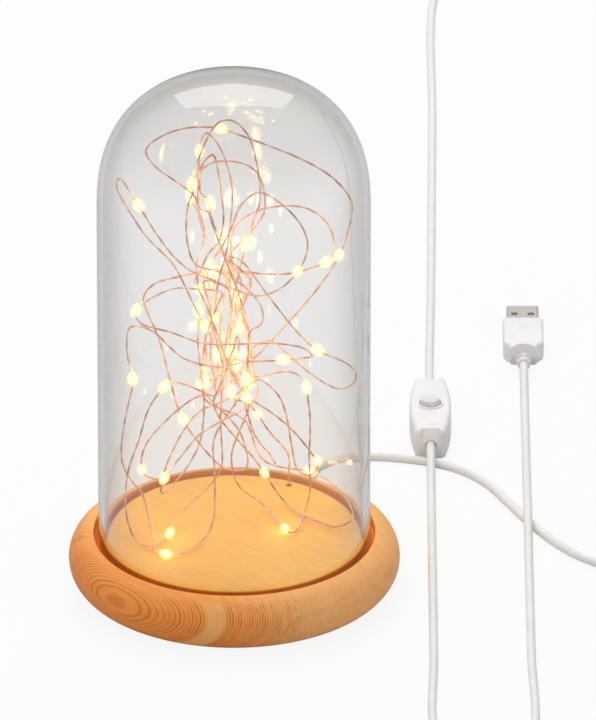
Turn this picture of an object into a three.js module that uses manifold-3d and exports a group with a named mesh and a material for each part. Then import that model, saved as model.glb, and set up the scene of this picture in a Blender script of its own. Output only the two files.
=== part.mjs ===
// Glass cloche with a string of LED drops on a turned wooden base, and its low-voltage lead
// with an in-line switch.
// Millimetres, +Z up. The origin is on the table under the middle of the base; the front is -Y.
import * as THREE from "three";
import { mergeVertices } from "three/addons/utils/BufferGeometryUtils.js";
import Module from "manifold-3d";

const wasm = await Module();
wasm.setup();

// Shared clearances
const GAP = 0.3;
const PAST = 1;

// Glass dome
const DOME_DIAMETER = 98.4;
const DOME_WALL = 2.2;
const DOME_HEIGHT = 183;
const DOME_CAP = 48;
const DOME_FULLNESS = 2.5;
const RIM_ROUND = 0.7;

// Wooden base
const BASE_THICKNESS = 21;
const RIM_WIDTH = 9;
const GROOVE_CLEARANCE = 1.8;
const PLATEAU_CLEARANCE = 0.9;
const GROOVE_DEPTH = 5;
const PLATEAU_DROP = 0.8;
const EDGE_ROUND = 0.6;

// Underside: pocket, cover and feet
const FOOT_PROUD = 1;
const FOOT_DIAMETER = 10;
const FOOT_THICKNESS = 2;
const FOOT_FROM_COVER = 2.5;
const FOOT_COUNT = 4;
const POCKET_DIAMETER = 60;
const POCKET_DEPTH = 11;
const COVER_LEDGE = 5;
const COVER_THICKNESS = 2.4;
const COVER_SUNK = 0.2;
const COVER_SCREWS = 3;

// Small screws
const SCREW_HEAD_DIAMETER = 4.2;
const SCREW_HEAD_HEIGHT = 1;
const SCREW_SHANK_DIAMETER = 2;
const SCREW_LENGTH = 7.5;
const SCREW_SUNK = 0.3;

// Lead and what holds it in the base
const CORD_DIAMETER = 3.2;
const LEAD_X = 20;
const LEAD_BORE_DIAMETER = 7.6;
const LEAD_BORE_HEIGHT = 7;
const FEED_BORE_DIAMETER = 4;
const FEED_INSET = 3.4;
const GROMMET_LENGTH = 12;
const GROMMET_PROUD = 2;
const GROMMET_ROUND = 1;
const CLIP_LENGTH = 6;
const CLIP_WALL = 1.4;
const CLIP_DROP = 6.8;
const CLIP_SCREW_PAD = 5.5;
const CLIP_BACK = 14;
const TAIL_END = [13, -4];
const SLEEVE_DIAMETER = 1.7;
const SLEEVE_LENGTH = 9;
const RESISTOR_DIAMETER = 2.3;
const RESISTOR_LENGTH = 6.3;

// Light string
const WIRE_DIAMETER = 0.8;
const LED_DIAMETER = 2.4;
const LED_LENGTH = 5.2;
const LED_SPACING = 84;
const LED_FIRST = 0.6;
const WIRE_SIDES = 4;
const TRUNK = { x: -3, y: 0, low: 86, high: 116 };
const TRUNK_PITCH = 2.4;
const TRUNK_FLARE = 0.25;
const TRUNK_SPREAD = 0.2;
const TRUNK_TWIST = THREE.MathUtils.degToRad(70);
const WIRE_GAP = 1;
const WIRE_HELD = 6;
const WIRE_ROUNDS = 300;
const WIRE_EASE = 0.15;
const WIRE_CROSSING = 0.4;

// In-line switch
const SWITCH_AT = [71.9, 120.9];
const SWITCH_LENGTH = 44.4;
const SWITCH_WIDTH = 15.4;
const SWITCH_END_WIDTH = 11.6;
const SWITCH_THICKNESS = 12;
const SWITCH_CORNER = 2.6;
const SWITCH_EDGE = 1.6;
const SWITCH_WALL = 1.6;
const SWITCH_BOSS_DIAMETER = 5.4;
const SWITCH_BOSS_FROM_MIDDLE = 11;
const SWITCH_NOTCH_DEPTH = 2.2;
const SWITCH_NOTCH_WIDTH = 7;
const CORD_IN_SWITCH = 6;
const CORD_STRAIGHT = 3;
const CORD_CLIMB = 24;
const BUTTON_DIAMETER = 7.6;
const BUTTON_TOP_DIAMETER = 5.8;
const BUTTON_PROUD = 2.2;
const BUTTON_TRAVEL = 1.5;
const BUTTON_FLANGE_WIDTH = 0.9;
const BUTTON_FLANGE_HEIGHT = 1.2;
const BUTTON_RING_WIDTH = 0.8;
const BUTTON_RING_HEIGHT = 0.5;
const BLOCK_SIDE = 8;
const SPRING_DIAMETER = 4.4;
const SPRING_WIRE = 0.5;
const SPRING_TURNS = 3;

// Lead plug
const PLUG_AT = [107, 168.9];
const RELIEF_LENGTH = 6.9;
const RELIEF_DIAMETER = 6.5;
const RELIEF_END_DIAMETER = 5;
const RELIEF_SLOTS = 2;
const RELIEF_SLOT_WIDTH = 0.8;
const RELIEF_CORE = 3.6;
const RELIEF_BRIDGE = 1.5;
const PLUG_LENGTH = 25;
const PLUG_WIDTH = 15.1;
const PLUG_THICKNESS = 8;
const PLUG_TAIL_WIDTH = 9.7;
const PLUG_TAPER = 6;
const PLUG_EDGE = 1.2;
const PLUG_CORNER = 2;
const GRIP_RIBS = 4;
const GRIP_LENGTH = 5.9;
const GRIP_FROM_SHELL = 4.3;
const GRIP_DEPTH = 0.6;
const SHELL_WIDTH = 12;
const SHELL_HEIGHT = 4.5;
const SHELL_LENGTH = 12.5;
const SHELL_WALL = 0.35;
const SHELL_CORNER = 0.8;
const WINDOW_WIDTH = 2.4;
const WINDOW_LENGTH = 2.1;
const WINDOW_SPREAD = 6.2;
const WINDOW_FROM_TIP = 6.8;
const TONGUE_THICKNESS = 1.5;
const TONGUE_FROM_TIP = 0.8;
const CONTACT_COUNT = 4;
const CONTACT_WIDTH = 1;
const CONTACT_THICKNESS = 0.3;
const CONTACT_LENGTH = 9;
const CONTACT_PITCH = 2.25;

// Facets
const ROUND_STEPS = 40;
const MIDDLE_STEPS = 20;
const SMALL_STEPS = 12;
const DOME_ARC_STEPS = 10;
const RIM_ARC_STEPS = 10;
const EDGE_ARC_STEPS = 2;
const CORD_SIDES = 8;
const SPRING_SIDES = 5;
const SPRING_TURN_STEPS = 8;
const CORD_TURN = THREE.MathUtils.degToRad(20);

// Places that follow from the sizes
const domeRadius = DOME_DIAMETER / 2;
const domeInside = domeRadius - DOME_WALL;
const grooveRadius = domeRadius + GROOVE_CLEARANCE;
const plateauRadius = domeInside - PLATEAU_CLEARANCE;
const baseRadius = grooveRadius + RIM_WIDTH;
const rimRadius = BASE_THICKNESS / 2;
const baseTop = FOOT_PROUD + BASE_THICKNESS;
const grooveFloor = baseTop - GROOVE_DEPTH;
const plateauTop = baseTop - PLATEAU_DROP;
const domeShoulder = grooveFloor + DOME_HEIGHT - DOME_CAP;
const pocketRadius = POCKET_DIAMETER / 2;
const pocketRoof = FOOT_PROUD + POCKET_DEPTH;
const coverRadius = pocketRadius + COVER_LEDGE;
const coverTop = FOOT_PROUD + COVER_SUNK + COVER_THICKNESS;
const screwHole = SCREW_SHANK_DIAMETER / 2 + GAP;
const screwHeadHole = SCREW_HEAD_DIAMETER / 2 + GAP;
const leadZ = FOOT_PROUD + LEAD_BORE_HEIGHT;
const cordRadius = CORD_DIAMETER / 2;
const feedY = Math.sqrt((plateauRadius - FEED_INSET) ** 2 - LEAD_X ** 2);
const rimReach = Math.sqrt(rimRadius ** 2 - (leadZ - FOOT_PROUD - rimRadius) ** 2);
const leadExitY = Math.sqrt((baseRadius - rimRadius + rimReach) ** 2 - LEAD_X ** 2) + GROMMET_PROUD;
const switchMiddle = SWITCH_THICKNESS / 2;
const plugAxis = PLUG_THICKNESS / 2;
const plugTail = PLUG_AT[1] + RELIEF_LENGTH;
const plugFace = plugTail + PLUG_LENGTH;

const cloche = new THREE.Group();

function finish(color, roughness, metalness = 0, opacity = 1) {
  return new THREE.MeshStandardMaterial({ color, roughness, metalness, opacity, transparent: opacity < 1 });
}

const GLASS = finish(0xf2f5f5, 0.03, 0, 0.3);
const WOOD = finish(0xe3a468, 0.55);
const FIBREBOARD = finish(0x6b4a30, 0.8);
const RUBBER = finish(0x3a3a3a, 0.9);
const WHITE_RUBBER = finish(0xdcdcdc, 0.85);
const STEEL = finish(0xb9bcc0, 0.35, 1);
const NICKEL = finish(0xc9cbce, 0.22, 1);
const GOLD = finish(0xd6ac55, 0.3, 1);
const COPPER_WIRE = finish(0xd98a63, 0.35, 0.6);
const WHITE_PLASTIC = finish(0xe9e7e8, 0.4);
const GREY_PLASTIC = finish(0xdddcdd, 0.35);
const WHITE_CORD = finish(0xebebeb, 0.5);
const DARK_PLASTIC = finish(0x2b2b2d, 0.5);
const BEIGE_CERAMIC = finish(0xd8c29a, 0.5);

function place(name, geometry, material, position = [0, 0, 0]) {
  const mesh = new THREE.Mesh(geometry, material);
  mesh.name = name;
  mesh.position.set(...position);
  cloche.add(mesh);
  return mesh;
}

// Booleans on closed geometry

function solid(geometry) {
  const bare = geometry.clone();
  bare.deleteAttribute("normal");
  bare.deleteAttribute("uv");
  const merged = mergeVertices(bare, 1e-4);
  return new wasm.Manifold(
    new wasm.Mesh({
      numProp: 3,
      vertProperties: new Float32Array(merged.attributes.position.array),
      triVerts: new Uint32Array(merged.index.array),
    }),
  );
}

function geometryOf(manifold) {
  const mesh = manifold.getMesh();
  const geometry = new THREE.BufferGeometry();
  geometry.setAttribute("position", new THREE.BufferAttribute(mesh.vertProperties, 3));
  geometry.setIndex(new THREE.BufferAttribute(mesh.triVerts, 1));
  geometry.computeVertexNormals();
  return geometry;
}

function cut(body, ...tools) {
  return geometryOf(tools.reduce((left, tool) => left.subtract(solid(tool)), solid(body)));
}

function join(body, ...others) {
  return geometryOf(others.reduce((left, other) => left.add(solid(other)), solid(body)));
}

function keep(body, region) {
  return geometryOf(solid(body).intersect(solid(region)));
}

// Basic forms

function turned(profile, steps = ROUND_STEPS) {
  const points = profile.map(([radius, height]) => new THREE.Vector2(radius, height));
  const geometry = new THREE.LatheGeometry(points, steps);
  geometry.rotateX(Math.PI / 2);
  return geometry;
}

function block(low, high) {
  const size = high.map((value, axis) => value - low[axis]);
  const geometry = new THREE.BoxGeometry(...size);
  geometry.translate(...low.map((value, axis) => value + size[axis] / 2));
  return geometry;
}

function rodUp(radius, low, high, at = [0, 0], steps = SMALL_STEPS) {
  const geometry = turned([[0, low], [radius, low], [radius, high], [0, high]], steps);
  geometry.translate(at[0], at[1], 0);
  return geometry;
}

function rodBack(radius, from, to, x, z, steps = SMALL_STEPS) {
  const geometry = new THREE.CylinderGeometry(radius, radius, to - from, steps);
  geometry.translate(x, (from + to) / 2, z);
  return geometry;
}

function slab(shape, low, high, edge = 0) {
  const geometry = new THREE.ExtrudeGeometry(shape, {
    depth: high - low - 2 * edge,
    bevelEnabled: edge > 0,
    bevelThickness: edge,
    bevelSize: edge,
    bevelOffset: -edge,
    bevelSegments: 2,
    curveSegments: 4,
  });
  geometry.translate(0, 0, low + edge);
  return geometry;
}

function arc(radius, centre, from, to, steps) {
  return Array.from({ length: steps + 1 }, (_, step) => {
    const angle = from + ((to - from) * step) / steps;
    return [centre[0] + radius * Math.cos(angle), centre[1] + radius * Math.sin(angle)];
  });
}

function ringPlaces(count, radius, first) {
  return Array.from({ length: count }, (_, index) => {
    const angle = first + (2 * Math.PI * index) / count;
    return [radius * Math.cos(angle), radius * Math.sin(angle)];
  });
}

function polygon(radius, sides) {
  return new THREE.Shape(
    Array.from({ length: sides }, (_, side) => {
      const angle = (2 * Math.PI * side) / sides;
      return new THREE.Vector2(radius * Math.cos(angle), radius * Math.sin(angle));
    }),
  );
}

function smoothPath(route) {
  const points = route.map((point) => new THREE.Vector3(...point));
  return new THREE.CatmullRomCurve3(points, false, "centripetal");
}

// A tube of changing radius, carried along without twisting and closed at both ends
function sweep(rings, sides) {
  const last = rings.length - 1;
  const positions = [];
  const faces = [];
  const across = new THREE.Vector3(1, 0, 0);
  rings.forEach(({ centre, radius }, index) => {
    const before = rings[Math.max(index - 1, 0)].centre;
    const after = rings[Math.min(index + 1, last)].centre;
    const forward = after.clone().sub(before).normalize();
    across.addScaledVector(forward, -across.dot(forward)).normalize();
    const other = forward.clone().cross(across);
    for (let side = 0; side < sides; side += 1) {
      const angle = (2 * Math.PI * side) / sides;
      const point = centre.clone();
      point.addScaledVector(across, radius * Math.cos(angle));
      point.addScaledVector(other, radius * Math.sin(angle));
      positions.push(point.x, point.y, point.z);
    }
  });
  for (let index = 0; index < last; index += 1) {
    for (let side = 0; side < sides; side += 1) {
      const next = (side + 1) % sides;
      const here = index * sides;
      const there = here + sides;
      faces.push(here + side, here + next, there + side, here + next, there + next, there + side);
    }
  }
  for (let side = 1; side < sides - 1; side += 1) {
    faces.push(0, side + 1, side, last * sides, last * sides + side, last * sides + side + 1);
  }
  const geometry = new THREE.BufferGeometry();
  geometry.setAttribute("position", new THREE.Float32BufferAttribute(positions, 3));
  geometry.setIndex(faces);
  geometry.computeVertexNormals();
  return geometry;
}

// A cord has a ring at each point of its route, and more between them where it bends
function cord(route, diameter, sides = CORD_SIDES) {
  const path = smoothPath(route);
  const spans = route.length - 1;
  const radius = diameter / 2;
  const rings = [];
  for (let span = 0; span < spans; span += 1) {
    const turn = path.getTangent(span / spans).angleTo(path.getTangent((span + 1) / spans));
    const steps = Math.max(1, Math.ceil(turn / CORD_TURN));
    for (let step = 0; step < steps; step += 1) {
      rings.push({ centre: path.getPoint((span + step / steps) / spans), radius });
    }
  }
  rings.push({ centre: path.getPoint(1), radius });
  return sweep(rings, sides);
}

// Glass dome: straight wall, a blown top fuller at the shoulder than a ball (a superellipse whose exponent
// is DOME_FULLNESS), and a fire-polished rim standing on the groove's floor

function domeCap(radius, rise) {
  const bend = 2 / DOME_FULLNESS;
  return Array.from({ length: DOME_ARC_STEPS + 1 }, (_, step) => {
    const angle = (Math.PI / 2) * (step / DOME_ARC_STEPS);
    const height = rise * Math.pow(Math.max(Math.cos(angle), 0), bend);
    return [radius * Math.pow(Math.sin(angle), bend), domeShoulder + height];
  });
}

function domeProfile() {
  const quarter = Math.PI / 2;
  const rimMiddle = grooveFloor + RIM_ROUND;
  return [
    ...domeCap(domeInside, DOME_CAP - DOME_WALL),
    ...arc(RIM_ROUND, [domeInside + RIM_ROUND, rimMiddle], 2 * quarter, 3 * quarter, EDGE_ARC_STEPS),
    ...arc(RIM_ROUND, [domeRadius - RIM_ROUND, rimMiddle], -quarter, 0, EDGE_ARC_STEPS),
    ...domeCap(domeRadius, DOME_CAP).reverse(),
  ].map(([radius, height]) => [Math.max(radius, 0), height]);
}

function onAxis(profile) {
  const last = profile.length - 1;
  return profile.map(([radius, height], index) => [index === 0 || index === last ? 0 : radius, height]);
}

place("glass_dome", turned(onAxis(domeProfile())), GLASS);

// Wooden base: half-round rim, groove for the glass, plateau, and a covered pocket underneath

function baseProfile() {
  const rimCentre = [baseRadius - rimRadius, FOOT_PROUD + rimRadius];
  const crest = Math.acos(Math.max(0, grooveRadius - rimCentre[0]) / rimRadius);
  const rim = arc(rimRadius, rimCentre, -Math.PI / 2, crest, RIM_ARC_STEPS);
  const plateauEdge = [plateauRadius - EDGE_ROUND, plateauTop - EDGE_ROUND];
  return [
    [0, pocketRoof],
    [pocketRadius, pocketRoof],
    [pocketRadius, coverTop],
    [coverRadius + GAP, coverTop],
    [coverRadius + GAP, FOOT_PROUD],
    ...rim,
    [grooveRadius, grooveFloor],
    [plateauRadius, grooveFloor],
    ...arc(EDGE_ROUND, plateauEdge, 0, Math.PI / 2, EDGE_ARC_STEPS),
    [0, plateauTop],
  ];
}

const footCircle = coverRadius + FOOT_FROM_COVER + FOOT_DIAMETER / 2;
const footPlaces = ringPlaces(FOOT_COUNT, footCircle, Math.PI / 4);
const footTop = FOOT_THICKNESS;
const footHole = FOOT_DIAMETER / 2 + GAP;
const footRecesses = footPlaces.map((at) => rodUp(footHole, FOOT_PROUD - PAST, footTop, at));

const screwCircle = pocketRadius + COVER_LEDGE / 2;
const screwPlaces = ringPlaces(COVER_SCREWS, screwCircle, -Math.PI / 2);
const coverScrewSeat = FOOT_PROUD + COVER_SUNK + SCREW_HEAD_HEIGHT + SCREW_SUNK;
const coverScrewTip = coverScrewSeat + SCREW_LENGTH;
const pilotHoles = screwPlaces.map((at) => rodUp(screwHole, coverTop - PAST, coverScrewTip + GAP, at));

const clipScrewX = LEAD_X - cordRadius - GAP - CLIP_WALL - CLIP_SCREW_PAD / 2;
const clipScrewAt = [clipScrewX, CLIP_BACK];
const clipBottom = pocketRoof - CLIP_DROP;
const clipScrewSeat = clipBottom + SCREW_SUNK + SCREW_HEAD_HEIGHT;
const clipScrewTip = clipScrewSeat + SCREW_LENGTH;
const clipPilot = rodUp(screwHole, pocketRoof - PAST, clipScrewTip + GAP, clipScrewAt);

const leadBore = rodBack(LEAD_BORE_DIAMETER / 2, 0, baseRadius + PAST, LEAD_X, leadZ);
const feedBore = rodUp(FEED_BORE_DIAMETER / 2, leadZ, plateauTop + PAST, [LEAD_X, feedY]);

place(
  "wood_base",
  cut(turned(baseProfile()), leadBore, feedBore, clipPilot, ...footRecesses, ...pilotHoles),
  WOOD,
);

function footProfile() {
  const radius = FOOT_DIAMETER / 2;
  return [[0, 0], [radius - EDGE_ROUND, 0], [radius, EDGE_ROUND], [radius, footTop], [0, footTop]];
}

footPlaces.forEach((at, index) => {
  place(`foot_pad_${index + 1}`, turned(footProfile(), SMALL_STEPS), RUBBER, [...at, 0]);
});

const coverBottom = FOOT_PROUD + COVER_SUNK;
const coverHoles = screwPlaces.flatMap((at) => [
  rodUp(screwHeadHole, coverBottom - PAST, coverScrewSeat, at),
  rodUp(screwHole, coverBottom, coverTop + PAST, at),
]);
const coverDisc = rodUp(coverRadius, coverBottom, coverTop, [0, 0], ROUND_STEPS);
place("base_cover", cut(coverDisc, ...coverHoles), FIBREBOARD);

// A screw points up; its seat is the face under its head
function screw(name, at, seat) {
  const head = SCREW_HEAD_DIAMETER / 2;
  const shank = SCREW_SHANK_DIAMETER / 2;
  const profile = [
    [0, -SCREW_HEAD_HEIGHT],
    [head - SCREW_SUNK, -SCREW_HEAD_HEIGHT],
    [head, SCREW_SUNK - SCREW_HEAD_HEIGHT],
    [head, 0],
    [shank, 0],
    [shank, SCREW_LENGTH - SCREW_SHANK_DIAMETER],
    [0, SCREW_LENGTH],
  ];
  place(name, turned(profile, SMALL_STEPS), STEEL, [...at, seat]);
}

screwPlaces.forEach((at, index) => screw(`cover_screw_${index + 1}`, at, coverScrewSeat));

// What holds the lead in the base: grommet, clip, soldered joints in sleeves, resistor

function grommet() {
  const outer = LEAD_BORE_DIAMETER / 2 - GAP;
  const inner = cordRadius + GAP;
  const profile = [
    [inner, 0],
    [outer, 0],
    [outer, GROMMET_LENGTH - GROMMET_ROUND],
    [outer - GROMMET_ROUND, GROMMET_LENGTH],
    [inner, GROMMET_LENGTH],
    [inner, 0],
  ].map(([radius, along]) => new THREE.Vector2(radius, along));
  return new THREE.LatheGeometry(profile, SMALL_STEPS);
}

place("cord_grommet", grommet(), WHITE_RUBBER, [LEAD_X, leadExitY - GROMMET_LENGTH, leadZ]);

const clipLow = [clipScrewX - CLIP_SCREW_PAD / 2, CLIP_BACK - CLIP_LENGTH / 2, clipBottom];
const clipHigh = [LEAD_X + cordRadius + GAP + CLIP_WALL, CLIP_BACK + CLIP_LENGTH / 2, pocketRoof];
place(
  "cord_clip",
  cut(
    block(clipLow, clipHigh),
    rodBack(cordRadius + GAP, clipLow[1] - PAST, clipHigh[1] + PAST, LEAD_X, leadZ),
    rodUp(screwHole, clipBottom, pocketRoof + PAST, clipScrewAt),
    rodUp(screwHeadHole, clipBottom - PAST, clipScrewSeat, clipScrewAt),
  ),
  WHITE_PLASTIC,
);
screw("clip_screw", clipScrewAt, clipScrewSeat);

const [tailX, tailY] = TAIL_END;
const TAIL_ROUTE = [
  [LEAD_X, leadExitY, leadZ],
  [LEAD_X, 40, leadZ],
  [LEAD_X, 22, leadZ],
  [LEAD_X, 9, leadZ],
  [18.5, 4, leadZ],
  [14.5, 1, leadZ],
  [tailX, tailY + 2, leadZ],
  [tailX, tailY, leadZ],
];
place("lead_tail", cord(TAIL_ROUTE, CORD_DIAMETER), WHITE_CORD);

const sleeveSpread = SLEEVE_DIAMETER / 2 + GAP;
const sleeveStart = tailY - GAP;
const resistorStart = sleeveStart - SLEEVE_LENGTH - GAP;
const spliceEnd = resistorStart - RESISTOR_LENGTH;
const sleeveRadius = SLEEVE_DIAMETER / 2;
place(
  "splice_sleeve_1",
  rodBack(sleeveRadius, spliceEnd, sleeveStart, tailX - sleeveSpread, leadZ, CORD_SIDES),
  DARK_PLASTIC,
);
place(
  "splice_sleeve_2",
  rodBack(sleeveRadius, sleeveStart - SLEEVE_LENGTH, sleeveStart, tailX + sleeveSpread, leadZ, CORD_SIDES),
  DARK_PLASTIC,
);
const resistorRadius = RESISTOR_DIAMETER / 2;
place(
  "series_resistor",
  rodBack(resistorRadius, spliceEnd, resistorStart, tailX + resistorRadius + GAP, leadZ, CORD_SIDES),
  BEIGE_CERAMIC,
);

const overCord = leadZ + cordRadius + GAP + WIRE_DIAMETER;
const feedTop = plateauTop + PAST;
const STRING_LEAD_ROUTE = [
  [tailX, spliceEnd - GAP, leadZ],
  [tailX, spliceEnd - 2, leadZ],
  [9, -25, leadZ + 0.5],
  [2, -22, leadZ + 1.5],
  [0, -12, leadZ + 2],
  [1, 0, leadZ + 2.2],
  [5, 11, overCord],
  [10, 18.5, overCord],
  [16, 21.5, overCord],
  [LEAD_X - 0.4, 25.5, overCord],
  [LEAD_X, 31, overCord],
  [LEAD_X, feedY - 4, overCord],
  [LEAD_X, feedY - 1.8, overCord + 0.1],
  [LEAD_X, feedY - 0.6, overCord + 0.9],
  [LEAD_X, feedY - 0.1, overCord + 2.5],
  [LEAD_X, feedY, (overCord + feedTop) / 2],
  [LEAD_X, feedY, feedTop],
];
place("string_lead", cord(STRING_LEAD_ROUTE, WIRE_DIAMETER, WIRE_SIDES), COPPER_WIRE);

// Light string: one unbroken wire folded into loops that are gathered in an upright trunk.
// Each loop is a few points as the wire passes them; "up" and "down" are runs along the trunk.

const FEED = [
  [LEAD_X, feedY, feedTop + GAP], [LEAD_X, feedY, feedTop + 4], [20, 34, 35], [12.8, 20, 52],
  [6, 9, 68],
];
const CROWN = [
  [-10, -6, 155], [-18, -9, 165], [-28, -11, 174], [-31, -7, 178], [-22, 2, 181], [-7.6, 6, 181],
  [4.3, 4, 178], [22.7, -2, 173], [34, -4, 167], [41.5, -2, 157], [42.5, 2, 148], [37.5, 6, 129],
  [29.5, 8, 115], [20.5, 7, 104],
];
const TALL = [
  [-14, -8, 134], [-17, -10, 148], [-15, -8, 164], [-10.8, -4, 178], [-5.4, 0, 185.5],
  [-1, 2, 185.5], [5, 6, 178], [8.3, 8, 165], [9.4, 8, 151], [5.8, 6, 140],
];
const LEFT_FLOOR = [
  [-16.6, -8, 85], [-23, -12, 88], [-30, -15, 80], [-34, -15, 66], [-37.5, -12, 54],
  [-39, -10, 40], [-38, -11, 31], [-34.6, -12, 23.5], [-30.5, -13, 22.5], [-24, -6, 23],
  [-20, 3, 27], [-13, 8, 32], [-5, 9, 42], [-5, 7, 58],
];
const POINTED = [
  [-10.8, 8, 138], [-13, 12, 151], [-12.5, 13, 163], [-11.9, 12, 172], [-9.7, 10, 177],
  [-5.4, 8, 173], [-1, 4, 161], [-0.7, 2, 150],
];
const LEFT_SKIRT = [
  [-13, 4, 75], [-22, 9, 65], [-31, 12, 53], [-34, 15, 44], [-33, 19, 35], [-27.5, 22, 32],
  [-24, 18, 42], [-20, 13, 53], [-13, 8, 66],
];
const SPRAY = [
  [-16, -7, 131], [-24, -10, 141], [-36, -12, 163], [-40, -9, 168], [-41.5, -6, 163],
  [-38, -4, 154], [-31, -4, 142], [-22, -4, 132], [-13.5, -5, 114],
];
const ROUND = [
  [-1, -5, 146], [3, -9, 158], [9.4, -12, 164], [17.5, -14, 160], [24, -16, 153], [26.3, -16, 146],
  [25, -14, 138], [18, -10, 126], [9, -8, 121],
];
const RIGHT_SKIRT = [
  [7.6, 5, 81], [13, 9, 76], [17, 12, 69], [19.5, 14, 59], [21.3, 16, 46], [23.5, 18, 37],
  [28, 15, 37], [30.5, 12, 43], [28, 9, 49], [23, 7, 57], [17, 6, 64], [8, 2, 73],
];
const WIDE = [
  [0, 7, 140], [7.6, 11, 145], [19.5, 16, 145], [27.5, 19, 142], [34, 20, 136], [36.5, 18, 130],
  [35, 16, 124], [30, 14, 122], [20, 10, 121], [9, 6, 123],
];
const BACK_FLOOR = [
  [4, 13, 60], [8, 22, 44], [12.5, 30, 34], [20, 32, 31], [29, 31, 30], [37, 24, 28],
  [42.5, 13, 26], [43, 4, 24.5], [37, 1, 23], [31, 6, 22.5], [25, 11, 22.5], [18, 21, 23.5],
  [9, 17, 40],
];
const REACHING = [
  [-2, -8, 136], [2, -9, 136], [11, -10, 124], [20, -12, 112], [28.5, -12, 102], [40, -8, 94],
  [44, -2, 86], [42.5, 2, 80], [38, 2, 78.5], [28.5, 0, 85], [20, -2, 94], [12, -4, 101],
];
const LEFT_FALL = [
  [-12, 6, 123], [-22.7, 10, 119], [-30, 14, 114], [-33, 16, 108], [-31, 14, 102], [-27.4, 12, 94],
  [-23, 12, 76], [-18.7, 14, 60], [-9.4, 18, 44], [-3, 20, 37], [4, 18, 38], [2, 12, 56],
];
const HALO = [
  [-12, -9, 124], [-20.5, -14, 127], [-28.5, -17, 125], [-35, -17, 119], [-33, -18, 115],
  [-24, -16, 111], [-11, -12, 104], [2, -13, 104], [13, -14, 105], [25, -14, 103], [28, -12, 99],
  [20, -11, 97], [9, -9, 95],
];
const LEFT_DROP = [
  [-6, -9, 93], [-18, -12, 98], [-30, -15, 111], [-36.5, -15, 112], [-38, -15, 103],
  [-36, -15, 90], [-38.5, -14, 76], [-40, -12, 64], [-40, -9, 54], [-37, -7, 46], [-33, -3, 38],
  [-30, -9, 27], [-27.5, -18, 22.5], [-21, -20, 22.5], [-13, -12, 22.5], [-8, -3, 26], [-7, 1, 42],
  [-7, 0, 60],
];
const NARROW = [
  [-9.4, -6, 154], [-12.6, -8, 166], [-11, -8, 173], [-7.5, -6, 176], [-5, -4, 163], [-4, -3, 146],
];
const RIGHT_HOOK = [
  [14.8, -6, 89], [20, -9, 91], [25, -9, 88], [26.5, -9, 80], [27.4, -7, 69], [27, -3, 54],
  [27.5, 5, 36], [26, 11, 25.5], [23.5, 2, 22.5], [20.5, -3, 22.5], [16, 6, 23], [10, 16, 25],
  [2, 15, 32], [-1, 8, 48],
];
const BACK_LOOP = [[-11, 14, 138], [-16, 23, 148], [-8, 29, 156], [7, 26, 155], [11, 18, 142]];
const FRONT_SKIRT = [
  [-13, -11, 66], [-19.5, -15, 59], [-25, -17, 52], [-26, -15, 45], [-21, -10, 47], [-13, -6, 59],
];
const SMALL = [[5, -9, 124], [10, -14, 119], [10, -14, 113], [6, -10, 108], [5, -9, 96]];
const FREE_END = [[4, -6, 80], [6, 2, 64], [9, 12, 52], [13, 21, 42], [15, 24, 37]];

const WIRE_RUN = [
  FEED, "up", CROWN, "up", TALL, "down", LEFT_FLOOR, "up", POINTED, "down", LEFT_SKIRT, "up",
  SPRAY, "up", ROUND, "down", RIGHT_SKIRT, "up", WIDE, "down", BACK_FLOOR, "up", REACHING, "up",
  LEFT_FALL, "up", HALO, LEFT_DROP, "up", NARROW, "down", RIGHT_HOOK, "up", BACK_LOOP, "down",
  FRONT_SKIRT, "up", SMALL, FREE_END,
];

// The runs of the trunk stand side by side like the seeds of a sunflower, lean to one side
// and the other in turn, and spread at both ends
function trunkRun(index, upwards) {
  const goldenAngle = Math.PI * (3 - Math.sqrt(5));
  const radius = TRUNK_PITCH * Math.sqrt(index + 0.5);
  const height = TRUNK.high - TRUNK.low;
  const lean = index % 2 === 0 ? TRUNK_TWIST : -TRUNK_TWIST;
  const run = [-TRUNK_FLARE, 0, 0.5, 1, 1 + TRUNK_FLARE].map((share) => {
    const outside = Math.max(0, -share, share - 1) / TRUNK_FLARE;
    const reach = radius * (1 + outside * TRUNK_SPREAD);
    const angle = index * goldenAngle + lean * (share - 0.5);
    const x = TRUNK.x + reach * Math.cos(angle);
    const y = TRUNK.y + reach * Math.sin(angle);
    return [x, y, TRUNK.low + height * share];
  });
  return upwards ? run : run.reverse();
}

function wireRoute() {
  let runs = 0;
  return WIRE_RUN.flatMap((leg) => {
    if (Array.isArray(leg)) return leg;
    const run = trunkRun(runs, leg === "up");
    runs += 1;
    return run;
  });
}

function insideDome(point, radius) {
  const room = DOME_WALL + radius + WIRE_GAP;
  const above = Math.max(0, point.z - domeShoulder);
  const across = Math.pow(Math.hypot(point.x, point.y) / (domeRadius - room), DOME_FULLNESS);
  const upwards = Math.pow(above / (DOME_CAP - room), DOME_FULLNESS);
  const outwards = Math.pow(across + upwards, 1 / DOME_FULLNESS);
  if (outwards > 1) {
    point.x /= outwards;
    point.y /= outwards;
    if (above > 0) point.z = domeShoulder + above / outwards;
  }
  point.z = Math.max(point.z, plateauTop + radius + GAP);
}

function heading(points, index, reach) {
  const before = points[Math.max(index - reach, 0)];
  const after = points[Math.min(index + reach, points.length - 1)];
  return after.clone().sub(before).normalize();
}

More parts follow.
